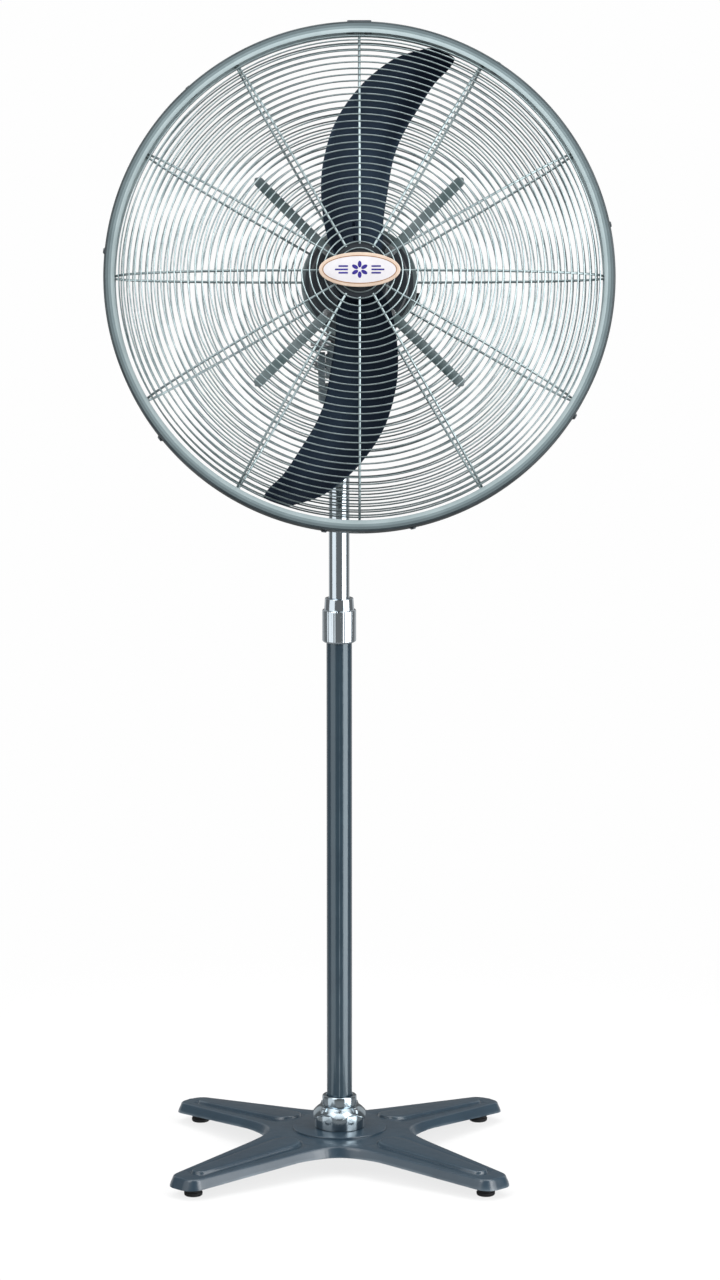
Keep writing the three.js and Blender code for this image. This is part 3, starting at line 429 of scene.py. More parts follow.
def modified(shape, kind, others=(), **settings):
    """The shape after one modifier. A Boolean takes its second shape from others."""
    item, *helpers = [
        mesh_object("temporary", [Vector(point) for point in points], faces, 1e-4, 1e-5)
        for points, faces in (shape, *others)
    ]
    modifier = item.modifiers.new("work", kind)
    for key, value in settings.items():
        setattr(modifier, key, value)
    if helpers:
        modifier.object = helpers[0]
    graph = bpy.context.evaluated_depsgraph_get()
    result = item.evaluated_get(graph).to_mesh()
    points = [vertex.co.copy() for vertex in result.vertices]
    faces = [list(polygon.vertices) for polygon in result.polygons]
    for made in (item, *helpers):
        mesh = made.data
        bpy.data.objects.remove(made)
        bpy.data.meshes.remove(mesh)
    return points, faces


def without(first, second):
    return modified(first, "BOOLEAN", [second], operation="DIFFERENCE", solver="EXACT")


def detail(name, shape, where, slot, node=None, sharp=38, look=None):
    """A finished piece in place of a CAD node, in that node's body. node=None takes the node
    of the same name; node="" adds a piece beside the nodes on the head."""
    node = name if node is None else node
    points = [where @ Vector(point) for point in shape[0]]
    piece = mesh_object(name + "_detail", points, shape[1], 1e-7)
    mesh = piece.data
    mesh.polygons.foreach_set("use_smooth", [True] * len(mesh.polygons))
    mesh.set_sharp_from_angle(angle=math.radians(sharp))
    mesh.materials.append(LOOKS[look or slot])
    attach(piece, body_of[node] if node else "head")
    if node:
        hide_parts(node)


def extra(name, shape, slot, look=None):
    """A piece of the guard that no CAD node stands for."""
    detail(name, shape, RIM, slot, node="", look=look)


# ---- base

LEG_LENGTH = 354  # to the end of a leg's top face
LEG_ROUNDING = 14  # of the corners there
LEG_WAIST = 79  # where the web between two legs crosses the line between them
LEG_TAPER = 0.142
WEB_END = 200  # where a leg's sides begin to run straight
WEB_END_HALF = 44.7  # half a leg's width there
PANEL_START, PANEL_END = 128, 312  # centres of the round ends of the panel on a leg
PANEL_WIDE, PANEL_NARROW = 27, 15
PANEL_RISE = 3.4
GROOVE_DEPTH = 2.4
GROOVE_WIDTH = 1.5
GROOVE_GAP = 2.2  # from the panel's edge to the groove's middle
CROWN = 0.6
PAD_RADIUS = 76
PAD_TOP = 52.5
BASE_TOP = 49
BASE_SLOPE = 16 / 288
UNDERSIDE = 31
UNDERSIDE_LEVEL = 150  # the underside is level up to here
UNDERSIDE_SLOPE = 15 / 214
FOOT_SPREAD = 233

# The rounded shoulder and the sloping side below the edge of the top: how far out each step
# lies, and how far from the height of the top or of the underside.
SIDE_STEPS = [
    (1.7, "top", -0.35), (3.2, "top", -1.3), (4.3, "top", -2.9), (5.0, "top", -5.2),
    (8.6, "underside", 4), (9.6, "underside", 0),
]


def curve(start, control_a, control_b, end, count):
    points = []
    for k in range(count + 1):
        t = k / count
        weights = ((1 - t) ** 3, 3 * t * (1 - t) ** 2, 3 * t * t * (1 - t), t ** 3)
        points.append(tuple(
            sum(w * p[axis] for w, p in zip(weights, (start, control_a, control_b, end)))
            for axis in range(2)
        ))
    return points


WEB_LINE = curve((LEG_WAIST, LEG_WAIST), (100, 58), (138, 53), (WEB_END, WEB_END_HALF), 14)


def leg_half(distance):
    """Half the width of a leg's top face at a distance from the pole."""
    if distance <= LEG_WAIST:
        return distance
    if distance < WEB_END:
        for (x0, y0), (x1, y1) in zip(WEB_LINE, WEB_LINE[1:]):
            if distance <= x1:
                return y0 + (y1 - y0) * (distance - x0) / (x1 - x0)
    half = WEB_END_HALF - LEG_TAPER * (distance - WEB_END)
    over = distance - (LEG_LENGTH - LEG_ROUNDING)
    if over > 0:
        half -= LEG_ROUNDING - math.sqrt(max(LEG_ROUNDING ** 2 - over ** 2, 0))
    return half


def smooth_step(value, low, high):
    t = min(max((value - low) / (high - low), 0), 1)
    return t * t * (3 - 2 * t)


def panel_half(distance):
    """Half the width of the panel on a leg, rounded at its ends."""
    t = (distance - PANEL_START) / (PANEL_END - PANEL_START)
    if t < 0:
        return math.sqrt(max(PANEL_WIDE ** 2 - (distance - PANEL_START) ** 2, 0))
    if t > 1:
        return math.sqrt(max(PANEL_NARROW ** 2 - (distance - PANEL_END) ** 2, 0))
    return PANEL_WIDE + (PANEL_NARROW - PANEL_WIDE) * t


def leg_height(distance, across):
    """The height of a leg's top face, with its raised panel and the groove round it."""
    t = min(max((distance - PANEL_START) / (PANEL_END - PANEL_START), 0), 1)
    middle = PANEL_START + (PANEL_END - PANEL_START) * t
    wide = PANEL_WIDE + (PANEL_NARROW - PANEL_WIDE) * t
    inside = wide - math.hypot(distance - middle, across)
    rise = PANEL_RISE * smooth_step(inside, -0.4, 1.2)
    groove = GROOVE_DEPTH * math.exp(-((inside + GROOVE_GAP) / GROOVE_WIDTH) ** 2)
    crown = CROWN * (1 - smooth_step(abs(across), 0, max(leg_half(distance), 1)))
    return BASE_TOP - BASE_SLOPE * max(distance - PAD_RADIUS, 0) + rise - groove + crown


def leg_stations():
    """Distances from the pole, closer together where the panel, the groove or the end curves."""
    straight = LEG_LENGTH - LEG_ROUNDING
    stations = [0, 20, 40, 60] + [x for x, _ in WEB_LINE]
    for middle, radius, sign in ((PANEL_START, PANEL_WIDE, -1), (PANEL_END, PANEL_NARROW, 1)):
        for reach in (-4.5, -3.2, -2, -0.9, 0, 0.7, 1.6, 3.2, 6, 10):
            stations.append(middle + sign * (radius - reach))
    stations += [210, 235, 260, 285, 330, straight]
    stations += [straight + LEG_ROUNDING * math.sin(k * math.pi / 12) for k in range(1, 7)]
    return sorted(set(round(value, 3) for value in stations))


def leg_top():
    """One quarter of the base's top face, as rows of points across the leg."""
    rows = []
    for distance in leg_stations():
        half = leg_half(distance)
        panel = panel_half(distance)
        marks = [0, 0.5 * panel] + [panel + beyond for beyond in (-2.2, -0.8, 0.4, 1.6, 3, 5)]
        for k, mark in enumerate(marks):
            marks[k] = min(max(mark, 0.05 * k * half), half * (0.5 + 0.06 * k))
        marks += [(marks[-1] + half) / 2, half]
        line = [-mark for mark in reversed(marks[1:])] + marks
        rows.append([(distance, across, leg_height(distance, across)) for across in line])
    return rows


def base_skin():
    """The star-shaped top, and below its edge the rounded shoulder and the sloping sides."""
    rows = leg_top()
    points = [point for row in rows for point in row]
    width = len(rows[0])
    faces = []
    for k in range(len(rows) - 1):
        for step in range(width - 1):
            a = k * width + step
            faces.append([a, a + 1, a + 1 + width, a + width])
    star = around((points, faces), 4)
    work = bmesh.new()
    vertices = [work.verts.new(point) for point in star[0]]
    for face in star[1]:
        work.faces.new([vertices[index] for index in face])
    bmesh.ops.remove_doubles(work, verts=work.verts, dist=0.01)
    bmesh.ops.dissolve_degenerate(work, dist=1e-3, edges=work.edges)
    rim = {}
    for edge in work.edges:
        if edge.is_boundary:
            for vertex, other in (edge.verts, reversed(edge.verts)):
                rim.setdefault(vertex, []).append(other)
    start = next(iter(rim))
    loop = [start, rim[start][0]]
    while len(loop) < len(rim):
        ahead = [vertex for vertex in rim[loop[-1]] if vertex is not loop[-2]]
        loop.append(ahead[0])
    area = sum(a.co.x * b.co.y - b.co.x * a.co.y for a, b in zip(loop, loop[1:] + loop[:1]))
    if area < 0:
        loop.reverse()
    edge_line = [vertex.co.xy for vertex in loop]
    tops = [vertex.co.z for vertex in loop]
    previous = loop
    for out, level, offset in SIDE_STEPS:
        line = inset(edge_line, -out)
        ring = []
        for spot, top in zip(line, tops):
            reach = max(abs(spot.x), abs(spot.y))
            underside = UNDERSIDE - UNDERSIDE_SLOPE * max(reach - UNDERSIDE_LEVEL, 0)
            start = top if level == "top" else underside
            ring.append(work.verts.new((spot.x, spot.y, start + offset)))
        for k in range(len(ring)):
            n = (k + 1) % len(ring)
            work.faces.new([previous[n], previous[k], ring[k], ring[n]])
        previous = ring
    bmesh.ops.recalc_face_normals(work, faces=work.faces)
    if sum(face.normal.z for face in work.faces) < 0:
        bmesh.ops.reverse_faces(work, faces=work.faces)
    work.verts.index_update()
    result = ([vertex.co.copy() for vertex in work.verts],
              [[vertex.index for vertex in face.verts] for face in work.faces])
    work.free()
    return result


def add_base():
    shell = modified(base_skin(), "SOLIDIFY", thickness=6, offset=-1, use_even_offset=True)
    pad = tube(0, PAD_RADIUS, 44, PAD_TOP, 0.9)
    column = tube(0, 43, 22, 46, 2)
    bosses = around(shifted(rod(17, 16, 29, 1.5), FOOT_SPREAD * math.sqrt(2)), 4)
    detail("base_casting", merge(shell, pad, column, bosses), TURNED, "base_paint", sharp=60)
    profile = [(0, 0), (12.6, 0), (14.6, 1.6), (15, 6), (13.4, 7.2), (13.4, 8.6), (15, 9.8),
               (14.6, 15.6), (0, 15.6)]
    foot = lathe(profile, 0.9)
    for name, x, y in (("fl", -1, -1), ("fr", 1, -1), ("bl", -1, 1), ("br", 1, 1)):
        where = POLE @ Matrix.Translation((x * FOOT_SPREAD, y * FOOT_SPREAD, 0))
        detail("foot_" + name, foot, where, "rubber")


def hex_bolt(radius, height, washer, shank, length):
    """A hexagon head on a round washer, with its shank below."""
    head = prism(circle(radius, 6), 1.2, height, 0.7)
    disc = rod(washer, 0, 1.4, 0.4)
    return merge(head, disc, rod(shank, -length, 0.5, 0.3, 24))


FLANGE_BORE = 21
FLANGE_COLLAR = 28
FLANGE_TOP = 106
SKIRT_RADIUS = 41.4
CAP_RADIUS = 44
CAP_LOBES = 6  # one of them at the front
LOBE_DEPTH = 2.4
CAP_TOP = 90
CAP_DROP = 15.6  # from the collar to the tip of a lobe
CAP_TUCK = 2  # how far the cap reaches into the collar
CAP_SHEET = 1.4
BOLT_CIRCLE = 35
SEAT_TOP = 84.6


def cap_height(distance):
    """The flange's domed cap, which falls more and more steeply away from its collar."""
    reach = (distance - FLANGE_COLLAR) / (CAP_RADIUS + LOBE_DEPTH - FLANGE_COLLAR)
    return CAP_TOP - CAP_DROP * max(reach, 0) ** 1.6


def flange_cap():
    """A thin shell whose lower edge is higher between the lobes, where it is nearer the pole."""
    facets = 144
    rings = []
    levels = [(share, 0) for share in (0, 0.2, 0.4, 0.6, 0.75, 0.88, 0.96, 1)]
    levels += [(share, -CAP_SHEET) for share in (1, 0.8, 0.5, 0)]
    for share, down in levels:
        ring = []
        for k in range(facets):
            angle = k * TAU / facets - TAU / 4
            edge = CAP_RADIUS + LOBE_DEPTH * math.cos(CAP_LOBES * (angle + TAU / 4))
            distance = FLANGE_COLLAR - CAP_TUCK + (edge - FLANGE_COLLAR + CAP_TUCK) * share
            ring.append((*polar(distance, angle), cap_height(distance) + down))
        rings.append(ring)
    return skin(rings, closed_along=True)


def add_flange():
    skirt = tube(FLANGE_BORE, SKIRT_RADIUS, 52.9, 77.5, 1.0)
    collar = tube(FLANGE_BORE, FLANGE_COLLAR, 86, FLANGE_TOP, 3)
    places = [polar(BOLT_CIRCLE, k * TAU / 4 + TAU / 8) for k in range(4)]
    seats = [shifted(rod(6.8, 78, SEAT_TOP, 0.4), x, y) for x, y in places]
    shape = merge(skirt, flange_cap(), collar, *seats)
    # The flange is drawn in the darker chrome, which is painted shade on its reflections.
    detail("base_flange", shape, POLE, "chrome", look="flange_chrome_painted_shade")
    for k, (x, y) in enumerate(places):
        where = POLE @ Matrix.Translation((x, y, SEAT_TOP))
        detail(f"flange_bolt_{k + 1}", hex_bolt(5.2, 5, 6.4, 3, 40), where, "chrome")


# ---- pole

TUBE_WALL = 2
COLLAR_RADIUS = 27.3
COLLAR_BORE = 21.2
COLLAR_BODY = 53.5  # from the collar's bottom to the shoulder of its fluted body
FLUTES = 44
FLUTE_DEPTH = 0.22


def upright(node):
    """The radius, bottom and top of a round CAD node on the pole."""
    low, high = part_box(node)
    return (high.x - low.x) / 2 / MM, low.z / MM, high.z / MM


def add_pole():
    for name, slot, look in (("lower_tube", "base_paint", "tube_paint"), ("upper_tube", "chrome", None)):
        radius, bottom, top = upright(name)
        detail(name, tube(radius - TUBE_WALL, radius, bottom, top, 0.6), POLE, slot, look=look)

    bottom, top = upright("lock_collar")[1:]
    shoulder = bottom + COLLAR_BODY
    flutes = []
    count = FLUTES * 6
    for k in range(count):
        angle = k * TAU / count
        reach = COLLAR_RADIUS - FLUTE_DEPTH * (0.5 + 0.5 * math.cos(FLUTES * angle)) ** 2
        flutes.append(polar(reach, angle))
    edge = [(0.0, 2.6), (0.3, 1.3), (1.3, 0.3), (2.6, 0.0)]
    levels = [(bottom + 1 + up, back) for up, back in edge]
    levels += [(shoulder - up, back) for up, back in reversed(edge)]
    bore = circle(COLLAR_BORE, count)
    rings = [[(*point, bottom + 1) for point in bore]]
    rings += [[(*point, height) for point in inset(flutes, back)] for height, back in levels]
    rings.append([(*point, shoulder) for point in bore])
    body = skin(rings, closed_along=True)
    core = lathe([
        (17.4, bottom + 23), (20.9, bottom + 23), (20.9, bottom), (24.6, bottom), (25.6, bottom + 4),
        (25.6, shoulder - 3), (24, shoulder + 0.5), (22.8, top), (17.4, top),
    ], 1.2)
    detail("lock_collar", merge(body, core), POLE, "chrome")


# ---- neck

STANDING = Matrix(((0, 0, 1, 0), (1, 0, 0, 0), (0, 1, 0, 0), (0, 0, 0, 1)))  # Z to X, X to Y
CHEEK = 33  # from the middle of the neck to the outside of a cheek
LINK_PIN = -34  # the link pin's place across the head


def tongue(radius, bottom, x0, x1, edge=1.6):
    """A bar across X with a round top at the tilt axis."""
    outline = [(-radius, bottom), (radius, bottom)]
    outline += [polar(radius, k * math.pi / 24) for k in range(25)]
    return moved(prism(outline, x0, x1, edge), STANDING)


def add_neck():
    cup = lathe([
        (0, -37), (16.9, -37), (16.9, -60), (30, -60), (33, -56), (33, -33), (30, -30), (0, -30),
    ], 1.6)
    cheeks, pads = [], []
    for side in (-1, 1):
        face = side * CHEEK
        cheeks.append(tongue(22, -36, face - 5.5 * (1 + side), face + 5.5 * (1 - side)))
        pads.append(along_x(rod(13, face - 0.6, face + 0.6, 0.3)))
    detail("neck_yoke", merge(cup, *cheeks, *pads), YOKE, "neck_paint")
    lock = turned(hex_bolt(6.4, 6, 7, 3, 12), -90, "X")
    detail("yoke_screw", shifted(lock, 0, 33.4, -48), YOKE, "steel")
    shank = along_x(rod(4, -34, 46.4, 0.6))
    head = shifted(turned(hex_bolt(7, 6, 8.2, 4, 1), -90, "Y"), -33.4)
    detail("tilt_bolt", merge(shank, head), YOKE, "steel")
    petals = []
    for k in range(90):
        angle = k * TAU / 90
        petals.append(polar(17.2 + 3.8 * math.cos(3 * angle), angle))
    wing = prism(petals, 0, 14, 3)
    boss = lathe([(4.6, -6), (9, -6), (9.6, 1), (4.6, 1)], 0.6)
    cap = lathe([(0, 13), (8.5, 13), (8, 14.6), (0, 15)], 0.6)
    knob = along_x(merge(wing, boss, cap))
    detail("tilt_knob", shifted(knob, 39.8), YOKE, "black_plastic")

    block = tongue(19, -19, -21.6, 21.6, 2)
    boss = lathe([(6.4, 10), (19, 10), (19, 27), (16, 30), (6.4, 30)], 1.2)
    arm_end = [polar(9, math.pi / 2 + k * math.pi / 16) for k in range(17)]
    arm = prism([(0, -14), (0, 14)] + [(LINK_PIN + x, y) for x, y in arm_end], 25, 30, 0.9)
    detail("tilt_block", merge(block, boss, arm), HEAD, "neck_paint")
    detail("pivot_shaft", rod(6, 8.4, 43, 0.5), HEAD, "steel")
    pin = merge(rod(3, 25, 38.5, 0.3), lathe([(0, 37.6), (9.4, 37.6), (9.4, 39.2), (0, 39.5)], 0.4))
    detail("link_pin", shifted(pin, LINK_PIN), HEAD, "steel")


# ---- motor


AXLE_ASIDE, AXLE_ABOVE = 32, 122  # the motor axis, beside the swing and above the tilt axis


def head_to_axle(shape):
    """From the head's frame (Z up from the tilt axis) to the motor axis's frame (Z forwards)."""
    return shifted(turned(shape, -90, "X"), -AXLE_ASIDE, -AXLE_ABOVE)


def add_motor():
    radius = 84
    can = lathe([
        (10, -34), (77, -34), (radius, -27), (radius, -10), (82.8, -9), (82.8, -7), (radius, -6),
        (radius, 52), (82.6, 53), (82.6, 60), (80, 60), (80, -28), (10, -28),
    ], 1.6, 128)
    rib = prism(rectangle(-1.1, 1.1, -26, 26, 1), 82.5, radius - 0.1, 0.4)
    ribs = around(moved(rib, Matrix.Translation((0, 0, 22)) @ Matrix.Rotation(math.pi / 2, 4, "Y")
                        @ Matrix.Rotation(math.pi / 2, 4, "Z")), 40)
    vents = around(shifted(prism(rectangle(-13, 13, -1.8, 1.8, 1.7), -35.2, -33, 0.6), 62), 20, 9)
    foot = head_to_axle(lathe([(6.5, 30.4), (13, 30.4), (13, 39), (19, 42), (19, 60), (6.5, 60)], 1.5))
    detail("motor_shell", merge(can, ribs, vents, foot), AXLE, "motor_paint")
    bell = lathe([
        (10, 101), (30, 101), (33, 99), (60, 99), (63, 101), (76, 101), (radius, 93), (radius, 60.4),
        (80, 60.4), (80, 90), (70, 95), (10, 95),
    ], 2.4, 128)
    lugs = around(shifted(rod(6, 60.6, 96, 1.2), 78.2), 4, 45)
    detail("front_bell", merge(bell, lugs), AXLE, "motor_paint")
    body = prism(rectangle(-60, 46, -46, 46, 12), -104, -34.4, 4)
    lid = prism(rectangle(-55, 41, -41, 41, 9), -106.4, -103, 1.2)
    seam = prism(rectangle(-60.4, 46.4, -46.4, 46.4, 12), -92, -89.4, 0.8)
    screws = []
    for x in (-48, 34):
        for y in (-34, 34):
            screws.append(shifted(turned(rod(4.2, -0.4, 1.2, 0.5, 32), 180, "X"), x, y, -106.2))
    fins = []
    for x in range(-19, 37, 11):
        fins.append(prism(rectangle(x, x + 2.6, 44, 48.4, 1), -86, -46, 0.6))
    tower = head_to_axle(prism(rectangle(-20, 20, 50, 90, 5), 48, 78, 1.6))
    detail("gearbox_housing", merge(body, lid, seam, *screws, *fins, tower), AXLE, "motor_paint")


SWITCH_Y, SWITCH_Z = -8, -69  # the middle of the switch box, up and along the axle


def add_controls():
    box = prism(rectangle(46.4, 78, -34, 18, 6), -98, -40, 2.4)
    lid = moved(prism(rectangle(-26, 26, -22, 22, 4), 0, 1.4, 0.5),
                Matrix.Translation((77.2, SWITCH_Y, SWITCH_Z)) @ Matrix.Rotation(math.pi / 2, 4, "Y"))
    detail("switch_box", merge(box, lid), AXLE, "black_plastic")
    knob = lathe([(0, 0), (12.5, 0), (12.5, 2.5), (11, 4), (10.4, 13), (0, 14)], 0.9)
    grips = around(shifted(rod(1.1, 4, 13, 0.4, 12), 10.6), 18)
    pointer = prism(rectangle(-1.8, 1.8, -10, 10, 1.5), 13, 19.8, 0.9)
    knob = shifted(along_x(merge(knob, grips, pointer)), 78.8, SWITCH_Y, SWITCH_Z)
    detail("speed_knob", knob, AXLE, "black_plastic")
    nut = prism(circle(10.8, 6), 0.4, 5, 0.6)
    throat = lathe([
        (4.6, 0), (9.5, 0), (9.5, 4), (8.5, 6), (8.2, 8), (8.5, 12), (6.8, 15), (4.6, 15),
    ], 0.6)
    gland = turned(merge(nut, throat), 90, "X")
    detail("cord_gland", shifted(gland, 62, -34.4, SWITCH_Z), AXLE, "black_plastic")
    stem = rod(4, 150, 177, 0.5)
    cap = lathe([
        (0, 176), (8.6, 176), (9.4, 178), (8.2, 182), (10.4, 187), (9.6, 191), (6, 193), (0, 193),
    ], 1.2)
    ridges = around(shifted(rod(0.9, 183, 190, 0.4, 12), 10), 20)
    detail("clutch_knob", shifted(merge(stem, cap, ridges), 0, 70), HEAD, "black_plastic")


# ---- impeller

# One blade, from the hub outwards: the trailing and the leading edge as seen from the front
# (X right, Y up from the motor axis) and the pitch of the blade there, in degrees.
BLADE = [
    ((-34, 22), (30, 18), 35),
    ((-50, 58), (36, 50), 34),
    ((-58, 100), (38, 92), 32),
    ((-60, 145), (45, 140), 29),
    ((-55, 185), (54, 190), 27),
    ((-42, 230), (70, 230), 25),
    ((-20, 270), (93, 268), 23),
    ((14, 310), (118, 306), 20),
    ((58, 343), (140, 328), 18),
    ((104, 358), (149, 341), 16),
]
BLADE_SPLIT = 5  # sections between two stations
BLADE_TIP = (139, 353)  # the tip is rounded off towards this point
BLADE_STEPS = 14  # from a blade's trailing to its leading edge
BLADE_CAMBER = 0.07  # the blade's hollow, as a share of its width
BLADE_HALF = 1.5  # half the sheet's thickness away from the edges


def between(a, b, c, d, t):
    """The Catmull-Rom curve from b to c."""
    square = 2 * a - 5 * b + 4 * c - d
    cube = b * 3 - a - 3 * c + d
    return 0.5 * (2 * b + (c - a) * t + square * t * t + cube * t ** 3)


def blade_sections():
    rows = [(*trailing, *leading, pitch) for trailing, leading, pitch in BLADE]
    sections = []
    for k in range(len(rows) - 1):
        nearby = [rows[max(min(k + step, len(rows) - 1), 0)] for step in (-1, 0, 1, 2)]
        for step in range(BLADE_SPLIT):
            t = step / BLADE_SPLIT
            sections.append([between(*(row[n] for row in nearby), t) for n in range(5)])
    sections.append(list(rows[-1]))
    x0, y0, x1, y1, pitch = sections[-1]
    middle = ((x0 + x1) / 2, (y0 + y1) / 2)
    for share in (0.28, 0.55, 0.8, 0.95):
        grow = math.sin(share * math.pi / 2) * 7
        keep = math.sqrt(1 - share ** 2)
        drift = (BLADE_TIP[0] - middle[0], BLADE_TIP[1] - middle[1])
        x, y = [middle[n] + drift[n] * share * 0.5 + (0.3, 0.7)[n] * grow * 0.4 for n in range(2)]
        across, up = (x1 - x0) / 2 * keep, (y1 - y0) / 2 * keep
        sections.append([x - across, y - up, x + across, y + up, pitch])
    return sections


def blade():
    rings = []
    for x0, y0, x1, y1, pitch in blade_sections():
        trailing, leading = Vector((x0, y0)), Vector((x1, y1))
        width = (leading - trailing).length
        rise = width * math.tan(math.radians(pitch))
        front, rear = [], []
        for k in range(BLADE_STEPS + 1):
            t = 0.5 - 0.5 * math.cos(k * math.pi / BLADE_STEPS)
            flat = trailing.lerp(leading, t)
            height = rise * (0.5 - t) - BLADE_CAMBER * width * 4 * t * (1 - t)
            half = BLADE_HALF * min(1, 0.25 + math.sqrt(max(4 * t * (1 - t), 0)) * 1.4)
            front.append((flat.x, flat.y, height + half))
            rear.append((flat.x, flat.y, height - half))
        rings.append(front + rear[::-1])
    return skin(rings)


def add_impeller():
    hub = lathe([
        (8.4, -24), (36, -24), (42, -18), (42, 12), (38, 16), (26, 18), (22, 24), (8.4, 24),
    ], 2.4)
    gussets = around(shifted(prism(rectangle(-14, 14, -1.6, 1.6, 1.5), 12, 21, 1), 24), 6, 30)
    rivet = lathe([(0, 0), (4, 0), (3.4, 2), (0, 2.8)], 0.8, 24)
    places = ((-30, 56), (-8, 62), (14, 54), (-9, 84))
    rivets = [shifted(rivet, x, y, blade_front(x, y)) for x, y in places]
    one = merge(blade(), *rivets)
    detail("impeller", merge(hub, gussets, one, turned(one, 180)), RIM, "blade_gloss", sharp=50)
    nut = lathe([
        (0, 9), (8.5, 9), (8.5, 0), (17, 0), (17, 7), (14.5, 12), (12, 15.5), (6, 19), (0, 20),
    ], 1.2)
    grips = around(shifted(rod(1.6, 1, 9, 0.6, 12), 16), 12)
    detail("spinner_nut", shifted(merge(nut, grips), 0, 0, 24.4), RIM, "black_plastic")


def blade_front(x, y):
    """The height of a blade's front face at a place near its root."""
    sections = blade_sections()
    x0, y0, x1, y1, pitch = min(sections, key=lambda row: abs((row[1] + row[3]) / 2 - y))
    width = math.hypot(x1 - x0, y1 - y0)
    t = (x - x0) / (x1 - x0)
    return width * math.tan(math.radians(pitch)) * (0.5 - t) - 0.28 * width * t * (1 - t) + 1.2


# ---- guards

GUARD_RADIUS = 393  # of the edge wires
DOME_RADIUS = 379  # where the ribs turn outwards into the hoop
FRONT = {"edge": 14.6, "apex": 98}  # distances from the rim plane
REAR = {"edge": -29, "apex": -80}
RIB_COUNT = 12
RIB_WIRE = 1.9
RIB_STEP = 12  # between two points of a rib
RING_WIRE = 1.2
RING_SINK = 0.7  # how far the rings are pressed into the ribs
EDGE_WIRE = 2.4


def dome(guard, distance):
    """A guard's distance from the rim plane: flat near the axis, steep at the rim."""
    share = min(distance / DOME_RADIUS, 1)
    return guard["edge"] + (guard["apex"] - guard["edge"]) * (1 - share ** 3) ** 0.6


def dome_line(guard, inner):
    """Points down the dome, close together, from an inner radius to the edge."""
    steps = 400
    start = math.asin(inner / DOME_RADIUS)
    line = []
    for k in range(steps + 1):
        distance = DOME_RADIUS * math.sin(start + (math.pi / 2 - start) * k / steps)
        line.append(Vector((distance, dome(guard, distance))))
    return line



def along(line, pitch):
    """Points on a line at equal distances, each with the line's direction there."""
    travelled, due, found = 0.0, 0.0, []
    for here, there in zip(line, line[1:]):
        travelled += (there - here).length
        if travelled >= due:
            found.append((there, (there - here).normalized()))
            due += pitch
    return found


def wire_guard(guard, rib_start, ring_start, pitch):
    """Ribs from the middle to the edge wire, and rings laid on the outside of them."""
    out = 1 if guard["apex"] > 0 else -1
    bow = [point for point, _ in along(dome_line(guard, rib_start), RIB_STEP)]
    bow += [Vector((radius, guard["edge"])) for radius in (DOME_RADIUS + 2, GUARD_RADIUS)]
    rib = wire([(point.x, 0, point.y) for point in bow], RIB_WIRE)
    parts = [around(rib, RIB_COUNT), hoop(GUARD_RADIUS, guard["edge"], EDGE_WIRE)]
    lift = RIB_WIRE + RING_WIRE - RING_SINK
    for point, direction in along(dome_line(guard, ring_start), pitch)[:-1]:
        spot = point + Vector((-direction.y, direction.x)) * lift * out
        parts.append(hoop(spot.x, spot.y, RING_WIRE))
    return merge(*parts)


def add_guards():
    detail("front_guard", wire_guard(FRONT, 40, 33, 11.1), RIM, "guard_wire")
    extra("front_guard_plate", tube(3.6, 44, 95.8, 98.2, 0.6), "motor_paint")
    collar = tube(84, 92, -82.4, -79.8, 0.8, 128)
    rear = wire_guard(REAR, 89, 98, 10)
    detail("rear_guard", merge(rear, collar), RIM, "guard_wire")
    plate = lathe([
        (24, -82.6), (86, -82.6), (86, -79.4), (78, -79.4), (76, -77.8), (60, -77.8), (58, -79.4),
        (46, -79.4), (44, -77.8), (34, -77.8), (32, -79.4), (24, -79.4),
    ], 1.0, 128)
    extra("rear_guard_plate", plate, "motor_paint")


STRAP_START, STRAP_END = 60, 232
STRAP_HALF = 8
# How far along its rise from the middle to the edge a strap is at a distance from the axis.
STRAP_LINE = [(STRAP_START, 0), (65, 0), (110, 0.1), (175, 0.45), (227, 0.95), (STRAP_END, 1)]


def strap_share(distance):
    for (d0, s0), (d1, s1) in zip(STRAP_LINE, STRAP_LINE[1:]):
        if d0 <= distance <= d1 + 1e-6:
            share = s0 + (s1 - s0) * (distance - d0) / (d1 - d0)
    return share


def add_straps():
    rise = dome(REAR, STRAP_END) - REAR["apex"]
    rings = []
    for k in range(41):
        distance = STRAP_START + (STRAP_END - STRAP_START) * k / 40
        height = REAR["apex"] + 1.2 + rise * strap_share(distance)
        short = max(STRAP_HALF - min(distance - STRAP_START, STRAP_END - distance), 0)
        half = max(math.sqrt(STRAP_HALF ** 2 - short ** 2), 1.2)
        section = [
            (-half, 0.5), (-half + 0.6, 0), (half - 0.6, 0), (half, 0.5),
            (half, 2.5), (half - 0.6, 3), (-half + 0.6, 3), (-half, 2.5),
        ]
        rings.append([(distance, across, height + up) for across, up in section])
    bar = skin(rings)
    screw = merge(
        lathe([(0, 1.2), (7, 1.2), (6.4, 3.4), (0, 4.2)], 1.0, 40),
        rod(7.6, 0, 1.4, 0.4), rod(2.5, -14, 1, 0.3, 24),
    )
    screw = without(screw, prism(rectangle(-5, 5, -0.7, 0.7, 0.5), 3.6, 6, 0.1))
    for k in range(4):
        turn = Matrix.Rotation(math.pi / 4 + k * math.pi / 2, 4, "Z")
        detail(f"guard_strap_{k + 1}", bar, RIM @ turn, "strap_paint", sharp=50)
        spot = RIM @ turn @ Matrix.Translation((70, 0, REAR["apex"] + 4.6))
        detail(f"guard_screw_{k + 1}", screw, spot, "steel")


